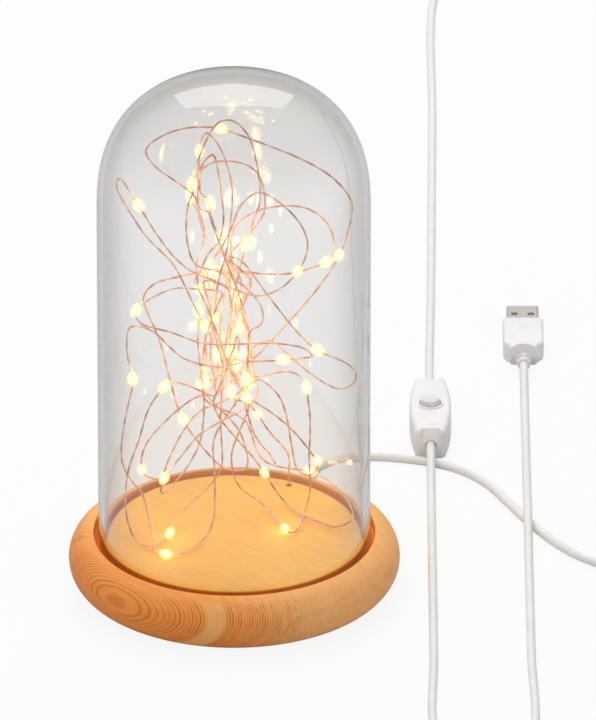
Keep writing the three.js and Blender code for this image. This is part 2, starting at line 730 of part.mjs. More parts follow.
// Pairs of samples of different strands that lie in the same or neighbouring cells of a coarse grid
function closePairs(points) {
  const cell = LED_DIAMETER + WIRE_GAP;
  const along = Math.ceil(2 * cell);
  const keyOf = (x, y, z) => `${x},${y},${z}`;
  const cellOf = (point) => point.toArray().map((value) => Math.floor(value / cell));
  const grid = new Map();
  const pairs = [];
  points.forEach((point, index) => {
    const [x, y, z] = cellOf(point);
    for (let dx = -1; dx <= 1; dx += 1) {
      for (let dy = -1; dy <= 1; dy += 1) {
        for (let dz = -1; dz <= 1; dz += 1) {
          for (const other of grid.get(keyOf(x + dx, y + dy, z + dz)) ?? []) {
            if (index - other >= along) pairs.push([index, other]);
          }
        }
      }
    }
    const key = keyOf(x, y, z);
    if (grid.has(key)) grid.get(key).push(index);
    else grid.set(key, [index]);
  });
  return pairs;
}

// Strands that cross are pushed along their common normal, and strands side by side
// straight away from each other
function awayFrom(points, headings, index, other) {
  const between = points[index].clone().sub(points[other]);
  const normal = headings[index].clone().cross(headings[other]);
  const crossing = normal.length();
  if (crossing > WIRE_CROSSING) return normal.multiplyScalar((normal.dot(between) < 0 ? -1 : 1) / crossing);
  return between.addScaledVector(headings[index], -between.dot(headings[index])).normalize();
}

// Springy wire holds its strands apart: samples that come too close push each other away,
// with their neighbours
function holdApart(points, radii) {
  const soft = [1, 0.8, 0.5, 0.2];
  for (let round = 0; round < WIRE_ROUNDS; round += 1) {
    const push = points.map(() => new THREE.Vector3());
    const headings = points.map((_, index) => heading(points, index, 1));
    let pushed = 0;
    for (const [i, j] of closePairs(points)) {
      const apart = radii[i] + radii[j] + WIRE_GAP;
      if (points[i].distanceTo(points[j]) >= apart) continue;
      const away = awayFrom(points, headings, i, j);
      const depth = apart - Math.abs(away.dot(points[i].clone().sub(points[j])));
      push[i].addScaledVector(away, depth / 2);
      push[j].addScaledVector(away, -depth / 2);
      pushed += 1;
    }
    if (pushed === 0) return;
    points.forEach((point, index) => {
      if (index < WIRE_HELD) return;
      soft.forEach((weight, offset) => {
        const sides = offset === 0 ? [index] : [index - offset, index + offset];
        for (const side of sides) {
          if (push[side]) point.addScaledVector(push[side], weight * WIRE_EASE);
        }
      });
      insideDome(point, radii[index]);
    });
  }
}

function samples(route) {
  const path = smoothPath(route);
  path.arcLengthDivisions = route.length * 20;
  return path.getSpacedPoints(Math.round(path.getLength()));
}

// The wire is sampled every millimetre, so a sample's number is also its distance along the wire
const wirePoints = samples(wireRoute());
const dropCount = Math.floor(wirePoints.length / LED_SPACING);
const drops = Array.from({ length: dropCount }, (_, index) => {
  return Math.round((index + LED_FIRST) * LED_SPACING);
});
const wireRadii = wirePoints.map((_, index) => {
  const inDrop = drops.some((drop) => Math.abs(drop - index) <= LED_LENGTH / 2);
  return (inDrop ? LED_DIAMETER : WIRE_DIAMETER) / 2;
});
holdApart(wirePoints, wireRadii);

// Rings along the wire: close together where it bends, far apart where it runs straight,
// and four on each LED drop
function wireRings() {
  const mostTurn = THREE.MathUtils.degToRad(24);
  const mostStep = 14;
  const mostSag = 0.14;
  const half = Math.round(LED_LENGTH / 2);
  const end = wirePoints.length - 1;
  const rings = [];
  let last = 0;
  wirePoints.forEach((centre, index) => {
    const drop = drops.find((middle) => Math.abs(middle - index) <= half + 1);
    const turn = heading(wirePoints, index, 2).angleTo(heading(wirePoints, last, 2));
    const sag = (turn * (index - last)) / 8;
    const bends = turn > mostTurn || sag > mostSag || index - last > mostStep;
    const fromDrop = Math.abs(index - drop);
    const onDrop = fromDrop === half || fromDrop === half - 2;
    if (index > 0 && index < end && (drop === undefined ? !bends : !onDrop)) return;
    rings.push({ centre, radius: (fromDrop < half ? LED_DIAMETER : WIRE_DIAMETER) / 2 });
    last = index;
  });
  return rings;
}

function leastGap(rings) {
  const path = rings.flatMap(({ centre, radius }, index) => {
    const next = rings[Math.min(index + 1, rings.length - 1)];
    const parts = Math.max(1, Math.round(centre.distanceTo(next.centre)));
    return Array.from({ length: parts }, (_, part) => ({
      centre: centre.clone().lerp(next.centre, part / parts),
      radius: radius + ((next.radius - radius) * part) / parts,
    }));
  });
  const farAlong = 8;
  let least = Infinity;
  for (let i = 0; i < path.length; i += 1) {
    for (let j = i + farAlong; j < path.length; j += 1) {
      const gap = path[i].centre.distanceTo(path[j].centre) - path[i].radius - path[j].radius;
      least = Math.min(least, gap);
    }
  }
  return least;
}

const stringRings = wireRings();
const stringGap = leastGap(stringRings).toFixed(2);
console.log(`light string: ${wirePoints.length} mm of wire, least gap to itself ${stringGap} mm`);
place("light_string", sweep(stringRings, WIRE_SIDES), COPPER_WIRE);

// In-line switch, lying on the table with its button up

function barrelOutline(inset) {
  const end = SWITCH_LENGTH / 2 - inset;
  const side = SWITCH_END_WIDTH / 2 - inset;
  const bulge = SWITCH_WIDTH - SWITCH_END_WIDTH + side;
  const corner = Math.max(SWITCH_CORNER - inset, EDGE_ROUND);
  const shape = new THREE.Shape();
  shape.moveTo(corner - side, -end);
  shape.lineTo(side - corner, -end);
  shape.quadraticCurveTo(side, -end, side, corner - end);
  shape.quadraticCurveTo(bulge, 0, side, end - corner);
  shape.quadraticCurveTo(side, end, side - corner, end);
  shape.lineTo(corner - side, end);
  shape.quadraticCurveTo(-side, end, -side, end - corner);
  shape.quadraticCurveTo(-bulge, 0, -side, corner - end);
  shape.quadraticCurveTo(-side, -end, corner - side, -end);
  return shape;
}

const switchEnd = SWITCH_LENGTH / 2;
const switchRoof = SWITCH_THICKNESS - SWITCH_WALL;
const buttonHole = BUTTON_DIAMETER / 2 + GAP;
const bossPlaces = [-1, 1].map((side) => [0, side * SWITCH_BOSS_FROM_MIDDLE]);
const shellScrewSeat = SCREW_SUNK + SCREW_HEAD_HEIGHT;
const shellScrewTip = shellScrewSeat + SCREW_LENGTH;

function switchShell(low, high) {
  const half = block([-SWITCH_WIDTH, -SWITCH_LENGTH, low], [SWITCH_WIDTH, SWITCH_LENGTH, high]);
  const cavity = slab(barrelOutline(SWITCH_WALL), SWITCH_WALL, switchRoof);
  const cordHoles = [-1, 1].map((side) => {
    const ends = [side * (switchEnd - SWITCH_WALL - PAST), side * (switchEnd + PAST)].sort((a, b) => a - b);
    return rodBack(cordRadius + GAP, ...ends, 0, switchMiddle);
  });
  const hollow = cut(keep(slab(barrelOutline(0), 0, SWITCH_THICKNESS, SWITCH_EDGE), half), cavity);
  return { hollow, cordHoles };
}

function lowerShell() {
  const { hollow, cordHoles } = switchShell(0, switchMiddle);
  const bosses = bossPlaces.map((at) => rodUp(SWITCH_BOSS_DIAMETER / 2, EDGE_ROUND, switchMiddle, at));
  const holes = bossPlaces.flatMap((at) => [
    rodUp(screwHole, -PAST, switchMiddle + PAST, at),
    rodUp(screwHeadHole, -PAST, shellScrewSeat, at),
  ]);
  return cut(join(hollow, ...bosses), ...cordHoles, ...holes);
}

function upperShell() {
  const { hollow, cordHoles } = switchShell(switchMiddle, SWITCH_THICKNESS);
  const bossTop = SWITCH_THICKNESS - EDGE_ROUND;
  const bosses = bossPlaces.map((at) => rodUp(SWITCH_BOSS_DIAMETER / 2, switchMiddle, bossTop, at));
  const pilots = bossPlaces.map((at) => rodUp(screwHole, switchMiddle - PAST, shellScrewTip + GAP, at));
  const ringTop = SWITCH_THICKNESS + BUTTON_RING_HEIGHT;
  const ring = rodUp(buttonHole + BUTTON_RING_WIDTH, switchRoof, ringTop, [0, 0], MIDDLE_STEPS);
  const hole = rodUp(buttonHole, switchMiddle, ringTop + PAST, [0, 0], MIDDLE_STEPS);
  const notches = [-1, 1].map((side) => {
    const near = side * (switchEnd - SWITCH_NOTCH_DEPTH);
    const far = side * (switchEnd + PAST);
    const slope = new THREE.Shape();
    slope.moveTo(near, SWITCH_THICKNESS + PAST);
    slope.lineTo(near, SWITCH_THICKNESS);
    slope.lineTo(side * switchEnd, switchMiddle + cordRadius);
    slope.lineTo(far, switchMiddle + cordRadius);
    slope.lineTo(far, SWITCH_THICKNESS + PAST);
    const wedge = new THREE.ExtrudeGeometry(slope, { depth: SWITCH_NOTCH_WIDTH, bevelEnabled: false });
    wedge.translate(0, 0, -SWITCH_NOTCH_WIDTH / 2);
    wedge.rotateX(Math.PI / 2);
    wedge.rotateZ(Math.PI / 2);
    return wedge;
  });
  return cut(join(hollow, ring, ...bosses), hole, ...cordHoles, ...pilots, ...notches);
}

const atSwitch = [...SWITCH_AT, 0];
place("switch_lower_shell", lowerShell(), WHITE_PLASTIC, atSwitch);
place("switch_upper_shell", upperShell(), WHITE_PLASTIC, atSwitch);
bossPlaces.forEach(([x, y], index) => {
  screw(`switch_screw_${index + 1}`, [SWITCH_AT[0] + x, SWITCH_AT[1] + y], shellScrewSeat);
});

const flangeTop = switchRoof - GAP;
const flangeBottom = flangeTop - BUTTON_FLANGE_HEIGHT;
const buttonTop = SWITCH_THICKNESS + BUTTON_PROUD;
const springSolid = SPRING_WIRE * (SPRING_TURNS + 1);
const springHeight = springSolid + BUTTON_TRAVEL;
const blockTop = flangeBottom - GAP - springHeight;
const buttonProfile = [
  [0, flangeBottom],
  [BUTTON_DIAMETER / 2 + BUTTON_FLANGE_WIDTH, flangeBottom],
  [BUTTON_DIAMETER / 2 + BUTTON_FLANGE_WIDTH, flangeTop],
  [BUTTON_DIAMETER / 2, flangeTop],
  [BUTTON_DIAMETER / 2, SWITCH_THICKNESS + BUTTON_RING_HEIGHT],
  [BUTTON_TOP_DIAMETER / 2 + EDGE_ROUND / 2, buttonTop - EDGE_ROUND / 2],
  [BUTTON_TOP_DIAMETER / 2 - EDGE_ROUND / 2, buttonTop],
  [0, buttonTop],
];
place("switch_button", turned(buttonProfile, MIDDLE_STEPS), GREY_PLASTIC, atSwitch);

const blockHalf = BLOCK_SIDE / 2;
const contactBlock = block([-blockHalf, -blockHalf, SWITCH_WALL], [blockHalf, blockHalf, blockTop]);
place("switch_contact_block", contactBlock, DARK_PLASTIC, atSwitch);

class Helix extends THREE.Curve {
  getPoint(share, target = new THREE.Vector3()) {
    const angle = 2 * Math.PI * SPRING_TURNS * share;
    const radius = (SPRING_DIAMETER - SPRING_WIRE) / 2;
    const height = (springHeight - SPRING_WIRE) * share + SPRING_WIRE / 2;
    return target.set(radius * Math.cos(angle), radius * Math.sin(angle), height);
  }
}

const springBase = blockTop + GAP / 2;
place(
  "button_spring",
  new THREE.ExtrudeGeometry(polygon(SPRING_WIRE / 2, SPRING_SIDES), {
    steps: SPRING_TURN_STEPS * SPRING_TURNS,
    extrudePath: new Helix(),
  }),
  STEEL,
  [...SWITCH_AT, springBase],
);

// Lead plug, lying flat on the table with its windows up

function turnedAlong(profile) {
  const points = profile.map(([radius, along]) => new THREE.Vector2(radius, along));
  return new THREE.LatheGeometry(points, MIDDLE_STEPS);
}

// A slot goes round the relief down to its core, apart from two bridges: at the top and bottom
// of the row next to the cord, and at the sides of the row after it
function reliefSlot(index) {
  const middle = (RELIEF_LENGTH / (RELIEF_SLOTS + 1)) * (index + 1);
  const low = middle - RELIEF_SLOT_WIDTH / 2;
  const high = middle + RELIEF_SLOT_WIDTH / 2;
  const core = RELIEF_CORE / 2;
  const past = RELIEF_DIAMETER;
  const ring = turnedAlong([[core, low], [past, low], [past, high], [core, high], [core, low]]);
  const [x, z] = index % 2 === 0 ? [RELIEF_BRIDGE / 2, 2 * past] : [2 * past, RELIEF_BRIDGE / 2];
  return cut(ring, block([-x, low - PAST, -z], [x, high + PAST, z]));
}

function reliefBody() {
  const slots = Array.from({ length: RELIEF_SLOTS }, (_, index) => reliefSlot(index));
  const sleeve = turnedAlong([
    [0, 0],
    [RELIEF_END_DIAMETER / 2, 0],
    [RELIEF_DIAMETER / 2, RELIEF_LENGTH],
    [0, RELIEF_LENGTH],
  ]);
  return cut(sleeve, ...slots);
}

function plugBody() {
  const side = PLUG_WIDTH / 2;
  const tail = PLUG_TAIL_WIDTH / 2;
  const outline = new THREE.Shape();
  outline.moveTo(-tail, 0);
  outline.lineTo(tail, 0);
  outline.bezierCurveTo(tail + EDGE_ROUND, PLUG_TAPER / 2, side, PLUG_TAPER / 2, side, PLUG_TAPER);
  outline.lineTo(side, PLUG_LENGTH - PLUG_CORNER);
  outline.quadraticCurveTo(side, PLUG_LENGTH, side - PLUG_CORNER, PLUG_LENGTH);
  outline.lineTo(PLUG_CORNER - side, PLUG_LENGTH);
  outline.quadraticCurveTo(-side, PLUG_LENGTH, -side, PLUG_LENGTH - PLUG_CORNER);
  outline.lineTo(-side, PLUG_TAPER);
  outline.bezierCurveTo(-side, PLUG_TAPER / 2, -tail - EDGE_ROUND, PLUG_TAPER / 2, -tail, 0);
  const pitch = GRIP_LENGTH / GRIP_RIBS;
  const grooves = Array.from({ length: GRIP_RIBS }, (_, index) => {
    const middle = PLUG_LENGTH - GRIP_FROM_SHELL - pitch * (index + 0.5);
    return [-1, 1].map((hand) => {
      const ends = [hand * (side - GRIP_DEPTH), hand * (side + PAST)].sort((a, b) => a - b);
      const low = [ends[0], middle - pitch / 4, PLUG_EDGE];
      return block(low, [ends[1], middle + pitch / 4, PLUG_THICKNESS - PLUG_EDGE]);
    });
  }).flat();
  return cut(slab(outline, 0, PLUG_THICKNESS, PLUG_EDGE), ...grooves);
}

function roundedRectangle(Kind, width, height, corner) {
  const x = width / 2;
  const y = height / 2;
  const path = new Kind();
  path.moveTo(corner - x, -y);
  path.lineTo(x - corner, -y);
  path.quadraticCurveTo(x, -y, x, corner - y);
  path.lineTo(x, y - corner);
  path.quadraticCurveTo(x, y, x - corner, y);
  path.lineTo(corner - x, y);
  path.quadraticCurveTo(-x, y, -x, y - corner);
  path.lineTo(-x, corner - y);
  path.quadraticCurveTo(-x, -y, corner - x, -y);
  return path;
}

function plugShell() {
  const section = roundedRectangle(THREE.Shape, SHELL_WIDTH, SHELL_HEIGHT, SHELL_CORNER);
  const inside = [SHELL_WIDTH, SHELL_HEIGHT].map((size) => size - 2 * SHELL_WALL);
  section.holes.push(roundedRectangle(THREE.Path, ...inside, SHELL_CORNER - SHELL_WALL));
  const shell = new THREE.ExtrudeGeometry(section, {
    depth: SHELL_LENGTH,
    bevelEnabled: false,
    curveSegments: 3,
  });
  shell.rotateX(-Math.PI / 2);
  const middle = SHELL_LENGTH - WINDOW_FROM_TIP;
  const windows = [-1, 1].map((side) => {
    const x = (side * WINDOW_SPREAD) / 2;
    const low = [x - WINDOW_WIDTH / 2, middle - WINDOW_LENGTH / 2, -SHELL_HEIGHT];
    return block(low, [x + WINDOW_WIDTH / 2, middle + WINDOW_LENGTH / 2, SHELL_HEIGHT]);
  });
  return cut(shell, ...windows);
}

const tongueBottom = SHELL_WALL + GAP - SHELL_HEIGHT / 2;
const tongueTop = tongueBottom + TONGUE_THICKNESS;
const tongueSide = SHELL_WIDTH / 2 - SHELL_WALL - GAP;
const tongueEnd = SHELL_LENGTH - TONGUE_FROM_TIP;
const atPlugFace = [PLUG_AT[0], plugFace, plugAxis];
place("plug_strain_relief", reliefBody(), WHITE_PLASTIC, [...PLUG_AT, plugAxis]);
place("plug_body", plugBody(), WHITE_PLASTIC, [PLUG_AT[0], plugTail, 0]);
place("plug_shell", plugShell(), NICKEL, atPlugFace);
const tongue = block([-tongueSide, 0, tongueBottom], [tongueSide, tongueEnd, tongueTop]);
place("plug_tongue", tongue, WHITE_PLASTIC, atPlugFace);
for (let index = 0; index < CONTACT_COUNT; index += 1) {
  const x = (index - (CONTACT_COUNT - 1) / 2) * CONTACT_PITCH;
  const low = [x - CONTACT_WIDTH / 2, tongueEnd - PAST - CONTACT_LENGTH, tongueTop];
  const strip = block(low, [x + CONTACT_WIDTH / 2, tongueEnd - PAST, tongueTop + CONTACT_THICKNESS]);
  place(`plug_contact_${index + 1}`, strip, GOLD, atPlugFace);
}

// Free stretches of the lead on the table

const onTable = cordRadius;
const [switchX, switchY] = SWITCH_AT;
const [plugX, plugY] = PLUG_AT;
const overCrossing = onTable + CORD_DIAMETER + 2 * GAP;
const BASE_TO_SWITCH = [
  [LEAD_X, leadExitY + GAP, leadZ],
  [LEAD_X, leadExitY + 5, leadZ - 0.4],
  [20.8, 70, 4.6],
  [23.5, 78, 1.9],
  [29, 86, onTable],
  [36.5, 93, onTable],
  [45, 97.6, onTable],
  [57, 97.4, onTable],
  [71.9, 93.4, onTable],
  [83, 87, onTable],
  [92.5, 76, onTable],
  [99.5, 62, onTable],
  [107, 46.5, onTable],
  [117, 29, onTable],
  [127, 17, onTable],
  [136, 11, onTable],
  [147, 10.5, onTable],
  [155, 17, onTable],
  [158.5, 28, onTable],
  [159, 60, onTable],
  [158, 200, onTable],
  [157, 380, onTable],
  [156, 490, onTable],
  [150, 515, onTable],
  [135, 532, onTable],
  [116, 537.5, onTable],
  [97, 532, onTable],
  [82, 515, onTable],
  [76, 490, onTable],
  [74.5, 380, onTable],
  [73, 240, onTable],
  [switchX, switchY + switchEnd + CORD_STRAIGHT + CORD_CLIMB, onTable],
  [switchX, switchY + switchEnd + CORD_STRAIGHT + CORD_CLIMB / 2, onTable + 1.4],
  [switchX, switchY + switchEnd + CORD_STRAIGHT, switchMiddle],
  [switchX, switchY + switchEnd - CORD_IN_SWITCH, switchMiddle],
];
const SWITCH_TO_PLUG = [
  [switchX, switchY - switchEnd + CORD_IN_SWITCH, switchMiddle],
  [switchX, switchY - switchEnd - 2, switchMiddle],
  [switchX, 93, overCrossing],
  [switchX, 84, 3.4],
  [switchX, 74, 1.8],
  [switchX, 60, onTable],
  [switchX, 0, onTable],
  [switchX, -60, onTable],
  [switchX, -116, onTable],
  [76.5, -129, onTable],
  [89.4, -134.5, onTable],
  [102.4, -129, onTable],
  [plugX, -116, onTable],
  [plugX, -60, onTable],
  [plugX, 0, onTable],
  [plugX, 22, 1.8],
  [plugX, 34, 4],
  [plugX, 46.5, overCrossing],
  [plugX, 59, 4],
  [plugX, 71, 1.8],
  [plugX, 95, onTable],
  [plugX, 145, onTable],
  [plugX, 157, 2.6],
  [plugX, plugY - 3, plugAxis],
  [plugX, plugY - GAP, plugAxis],
];
place("cord_base_to_switch", cord(BASE_TO_SWITCH, CORD_DIAMETER), WHITE_CORD);
place("cord_switch_to_plug", cord(SWITCH_TO_PLUG, CORD_DIAMETER), WHITE_CORD);

export default cloche;
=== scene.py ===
"""Glass cloche with a string of LED drops on a turned base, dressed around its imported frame."""

import logging
import math
from collections.abc import Sequence
from dataclasses import dataclass
from enum import Enum
from typing import Any

import bpy
import numpy as np
from mathutils import Matrix, Vector


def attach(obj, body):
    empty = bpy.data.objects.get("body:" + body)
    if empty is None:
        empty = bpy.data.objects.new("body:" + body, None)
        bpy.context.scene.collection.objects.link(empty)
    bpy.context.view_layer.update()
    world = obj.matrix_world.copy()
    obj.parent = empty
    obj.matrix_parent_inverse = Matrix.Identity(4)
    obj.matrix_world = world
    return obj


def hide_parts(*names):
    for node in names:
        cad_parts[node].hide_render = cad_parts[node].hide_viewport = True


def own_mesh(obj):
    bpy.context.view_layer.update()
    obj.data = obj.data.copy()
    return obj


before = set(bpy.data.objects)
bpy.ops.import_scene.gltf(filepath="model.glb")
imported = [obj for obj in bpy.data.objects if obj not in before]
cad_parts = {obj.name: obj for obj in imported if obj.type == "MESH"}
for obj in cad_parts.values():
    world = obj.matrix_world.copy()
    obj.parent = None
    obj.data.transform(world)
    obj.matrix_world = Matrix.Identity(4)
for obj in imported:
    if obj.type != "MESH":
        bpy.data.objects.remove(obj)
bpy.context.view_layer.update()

LOG = logging.getLogger("cloche")
MM = 0.001

Point = tuple[float, float, float]
Flat = tuple[float, float]
Colour = tuple[float, float, float]
Face = list[int]
Shape = tuple[np.ndarray, list[Face]]
Piece = bpy.types.Object

WHITE: Colour = (1.0, 1.0, 1.0)
# Vertices that are closer than this are one, in metres.
WELD = 1e-6
# How far a cutter reaches past the face that it opens, in millimetres.
PAST = 1.0
# The least opening that a corner counts as when its outline moves inwards.
SHARPEST_CORNER = 0.35


class Body(Enum):
    """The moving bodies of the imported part."""

    BASE = "base"
    DOME = "dome"
    BUTTON = "button"


class Cut(Enum):
    """What a boolean does with its second solid."""

    REMOVE = "DIFFERENCE"
    JOIN = "UNION"


def linear(level: float) -> float:
    """One channel of a picture, 0 to 255, as a scene-linear value."""
    share = level / 255
    return share / 12.92 if share <= 0.04045 else ((share + 0.055) / 1.055) ** 2.4


def srgb(red: float, green: float, blue: float) -> Colour:
    """A colour as a picture shows it, 0 to 255, turned into scene-linear values."""
    return linear(red), linear(green), linear(blue)


class Signal:
    """A socket whose arithmetic adds Math nodes to its own tree."""

    def __init__(self, graph: "Graph", socket: bpy.types.NodeSocket) -> None:
        """Keeps the tree and the socket."""
        self.graph = graph
        self.socket = socket

    def __add__(self, other: "Signal | float") -> "Signal":
        """self + other."""
        return self.graph.math("ADD", self, other)

    def __radd__(self, other: float) -> "Signal":
        """other + self."""
        return self.graph.math("ADD", other, self)

    def __sub__(self, other: "Signal | float") -> "Signal":
        """self - other."""
        return self.graph.math("SUBTRACT", self, other)

    def __rsub__(self, other: float) -> "Signal":
        """other - self."""
        return self.graph.math("SUBTRACT", other, self)

    def __mul__(self, other: "Signal | float") -> "Signal":
        """self * other."""
        return self.graph.math("MULTIPLY", self, other)

    def __rmul__(self, other: float) -> "Signal":
        """other * self."""
        return self.graph.math("MULTIPLY", other, self)

    def __truediv__(self, other: "Signal | float") -> "Signal":
        """self / other."""
        return self.graph.math("DIVIDE", self, other)

    def __rtruediv__(self, other: float) -> "Signal":
        """other / self."""
        return self.graph.math("DIVIDE", other, self)

    def __pow__(self, other: "Signal | float") -> "Signal":
        """self ** other."""
        return self.graph.math("POWER", self, other)

    def __rpow__(self, other: float) -> "Signal":
        """other ** self."""
        return self.graph.math("POWER", other, self)


Feed = Signal | float | Sequence[float]


class Graph:
    """One node tree, and the nodes that the finishes are put together from."""

    # A Mix node has its sockets once for each type of data. These are the ones for colours.
    MIX_FIRST = 6
    MIX_SECOND = 7
    MIX_RESULT = 2

    def __init__(self, tree: bpy.types.NodeTree) -> None:
        """Empties the tree."""
        self.tree = tree
        self.tree.nodes.clear()

    def node(
        self,
        kind: str,
        settings: dict[str, Any] | None = None,
        inputs: dict[str | int, Feed] | None = None,
    ) -> bpy.types.Node:
        """Adds a node.

        Args:
            kind: the node's type.
            settings: its properties, which are set first.
            inputs: a value or a link for each socket, by name or number.

        Returns:
            The new node.
        """
        made = self.tree.nodes.new(kind)
        for key, value in (settings or {}).items():
            setattr(made, key, value)
        for key, value in (inputs or {}).items():
            socket = made.inputs[key]
            if isinstance(value, Signal):
                self.tree.links.new(value.socket, socket)
            elif socket.type == "RGBA":
                socket.default_value = (*value, 1.0)
            else:
                socket.default_value = value
        return made

    def signal(self, made: bpy.types.Node, output: str | int = 0) -> Signal:
        """One output of a node."""
        return Signal(self, made.outputs[output])

    def math(self, operation: str, *values: "Signal | float") -> Signal:
        """A Math node on one to three values."""
        made = self.node("ShaderNodeMath", {"operation": operation}, dict(enumerate(values)))
        return self.signal(made)

    def smooth(self, value: Signal, low: float, high: float) -> Signal:
        """A smooth step.

        Args:
            value: what it depends on.
            low: the value up to which it is 0.
            high: the value from which on it is 1.

        Returns:
            The step, from 0 to 1.
        """
        made = self.node(
            "ShaderNodeMapRange",
            {"interpolation_type": "SMOOTHSTEP"},
            {"Value": value, "From Min": low, "From Max": high},
        )
        return self.signal(made)

    def mix(self, share: Signal | float, first: Feed, second: Feed) -> Signal:
        """Two colours mixed.

        Args:
            share: how much of the second there is.
            first: a colour or a link to one.
            second: a colour or a link to one.

        Returns:
            The mixed colour.
        """
        made = self.node(
            "ShaderNodeMix",
            {"data_type": "RGBA", "clamp_factor": True},
            {0: share, self.MIX_FIRST: first, self.MIX_SECOND: second},
        )
        return self.signal(made, self.MIX_RESULT)

    def millimetres(self) -> Signal:
        """The place on the object, in millimetres of the frame."""
        place = self.signal(self.node("ShaderNodeTexCoord"), "Object")
        return self.stretched(place, (1 / MM, 1 / MM, 1 / MM))

    def stretched(self, place: Signal, factors: Point) -> Signal:
        """A vector with each axis times its own number."""
        made = self.node("ShaderNodeVectorMath", {"operation": "MULTIPLY"}, {0: place, 1: factors})
        return self.signal(made)

    def split(self, place: Signal) -> tuple[Signal, Signal, Signal]:
        """The three parts of a vector."""
        made = self.node("ShaderNodeSeparateXYZ", None, {0: place})
        return self.signal(made, 0), self.signal(made, 1), self.signal(made, 2)

    def noise(self, place: Signal, scale: float, detail: float = 2.0) -> Signal:
        """Soft noise.

        Args:
            place: where it is looked up.
            scale: how fine it is.
            detail: how many finer layers it has.

        Returns:
            The noise, from 0 to 1.
        """
        made = self.node(
            "ShaderNodeTexNoise", None, {"Vector": place, "Scale": scale, "Detail": detail}
        )
        return self.signal(made)

    def facing(self) -> Signal:
        """0 where the surface faces the eye and 1 at its edge."""
        return self.signal(self.node("ShaderNodeLayerWeight"), "Facing")

    def bump(self, height: Signal, strength: float, depth: float) -> Signal:
        """A normal that follows a relief.

        Args:
            height: the relief, in shares of its depth.
            strength: how much of it shows.
            depth: what a height of 1 stands for, in millimetres.

        Returns:
            The normal.
        """
        made = self.node(
            "ShaderNodeBump", None, {"Height": height, "Strength": strength, "Distance": depth * MM}
        )
        return self.signal(made)

    def ray(self, *names: str) -> Signal:
        """Tells which kind of ray meets the surface.

        Args:
            names: outputs of the Light Path node.

        Returns:
            1 for rays of any of these kinds, and else 0.
        """
        path = self.node("ShaderNodeLightPath")
        total = self.signal(path, names[0])
        for name in names[1:]:
            total = self.math("MAXIMUM", total, self.signal(path, name))
        return total

    def mirrored(self) -> Signal:
        """1 for rays that a surface as smooth as glass has thrown back."""
        return self.ray("Is Singular Ray") * (1.0 - self.ray("Is Transmission Ray"))

    def emission(self, colour: Colour, strength: float) -> bpy.types.Node:
        """A shader that glows evenly."""
        return self.node("ShaderNodeEmission", None, {"Color": colour, "Strength": strength})

    def surface(self, shader: bpy.types.Node, volume: bpy.types.Node | None = None) -> None:
        """Joins the tree's output.

        Args:
            shader: what the surface shows.
            volume: what fills the body, if anything does.
        """
        out = self.node("ShaderNodeOutputMaterial")
        self.tree.links.new(shader.outputs[0], out.inputs["Surface"])
        if volume is not None:
            self.tree.links.new(volume.outputs[0], out.inputs["Volume"])

    def principled(self, inputs: dict[str | int, Feed]) -> bpy.types.Node:
        """A Principled shader with these inputs."""
        return self.node("ShaderNodeBsdfPrincipled", None, inputs)

    def mix_shader(
        self, share: Signal, first: bpy.types.Node, second: bpy.types.Node
    ) -> bpy.types.Node:
        """Two shaders mixed.

        Args:
            share: how much of the second there is.
            first: a shader.
            second: a shader.

        Returns:
            The shader that mixes them.
        """
        made = self.node("ShaderNodeMixShader", None, {0: share})
        self.tree.links.new(first.outputs[0], made.inputs[1])
        self.tree.links.new(second.outputs[0], made.inputs[2])
        return made


@dataclass(frozen=True)
class Cloud:
    """Soft noise over an object, cut to a part of its values.

    Attributes:
        scale: how fine it is along each axis, per millimetre.
        detail: how many finer layers it has.
        span: the values of the noise that become 0 and 1.
    """

    scale: Point
    detail: float
    span: Flat

    def over(self, graph: Graph, place: Signal) -> Signal:
        """The cloud at a place in millimetres, from 0 to 1."""
        noise = graph.noise(graph.stretched(place, self.scale), 1.0, self.detail)
        return graph.smooth(noise, *self.span)


@dataclass(frozen=True)
class Finish:
    """What a surface is made of."""

    name: str

    def material(self) -> bpy.types.Material:
        """Finds the finish's material.

        Returns:
            The material, made the first time it is asked for.
        """
        found = bpy.data.materials.get(self.name)
        if found is None:
            found = bpy.data.materials.new(self.name)
            found.use_nodes = True
            self.draw(Graph(found.node_tree))
        return found

    def draw(self, graph: Graph) -> None:
        """Puts the finish's nodes in a material's empty tree."""
        raise NotImplementedError


@dataclass(frozen=True)
class ClearGlass(Finish):
    """Blown glass that lets the lamps light what is inside it.

    Attributes:
        tint: its colour where it faces the eye.
        rim: the colour of the painted shade along its outline.
        painted_edge_shade: how far it is turned away where the painted shade begins and is full.
        crown: the heights between which the painted shade over the crown sets in, in millimetres.
        painted_crown_shade: how much of the rim's painted shade the crown has.
        index: its index of refraction.
        absorbed: the colour that its body takes light up to.
        density: how fast it does so, per metre.
    """

    tint: Colour
    rim: Colour
    painted_edge_shade: Flat
    crown: Flat
    painted_crown_shade: float
    index: float
    absorbed: Colour
    density: float

    def draw(self, graph: Graph) -> None:
        """Puts the finish's nodes in an empty tree.

        Args:
            graph: the material's tree.
        """
        _, _, z = graph.split(graph.millimetres())
        # Painted shade: the glass darkens towards its outline and over its crown.
        crown = graph.smooth(z, *self.crown) * self.painted_crown_shade
        painted_edge_shade = graph.smooth(graph.facing(), *self.painted_edge_shade)
        glass = graph.principled(
            {
                "Base Color": graph.mix(graph.math("MAXIMUM", painted_edge_shade, crown), self.tint, self.rim),
                "Roughness": 0.0,
                "IOR": self.index,
                "Transmission Weight": 1.0,
            }
        )
        clear = graph.node("ShaderNodeBsdfTransparent", None, {"Color": WHITE})
        passed = graph.ray("Is Shadow Ray", "Is Diffuse Ray")
        body = graph.node(
            "ShaderNodeVolumeAbsorption", None, {"Color": self.absorbed, "Density": self.density}
        )
        graph.surface(graph.mix_shader(passed, glass, clear), body)


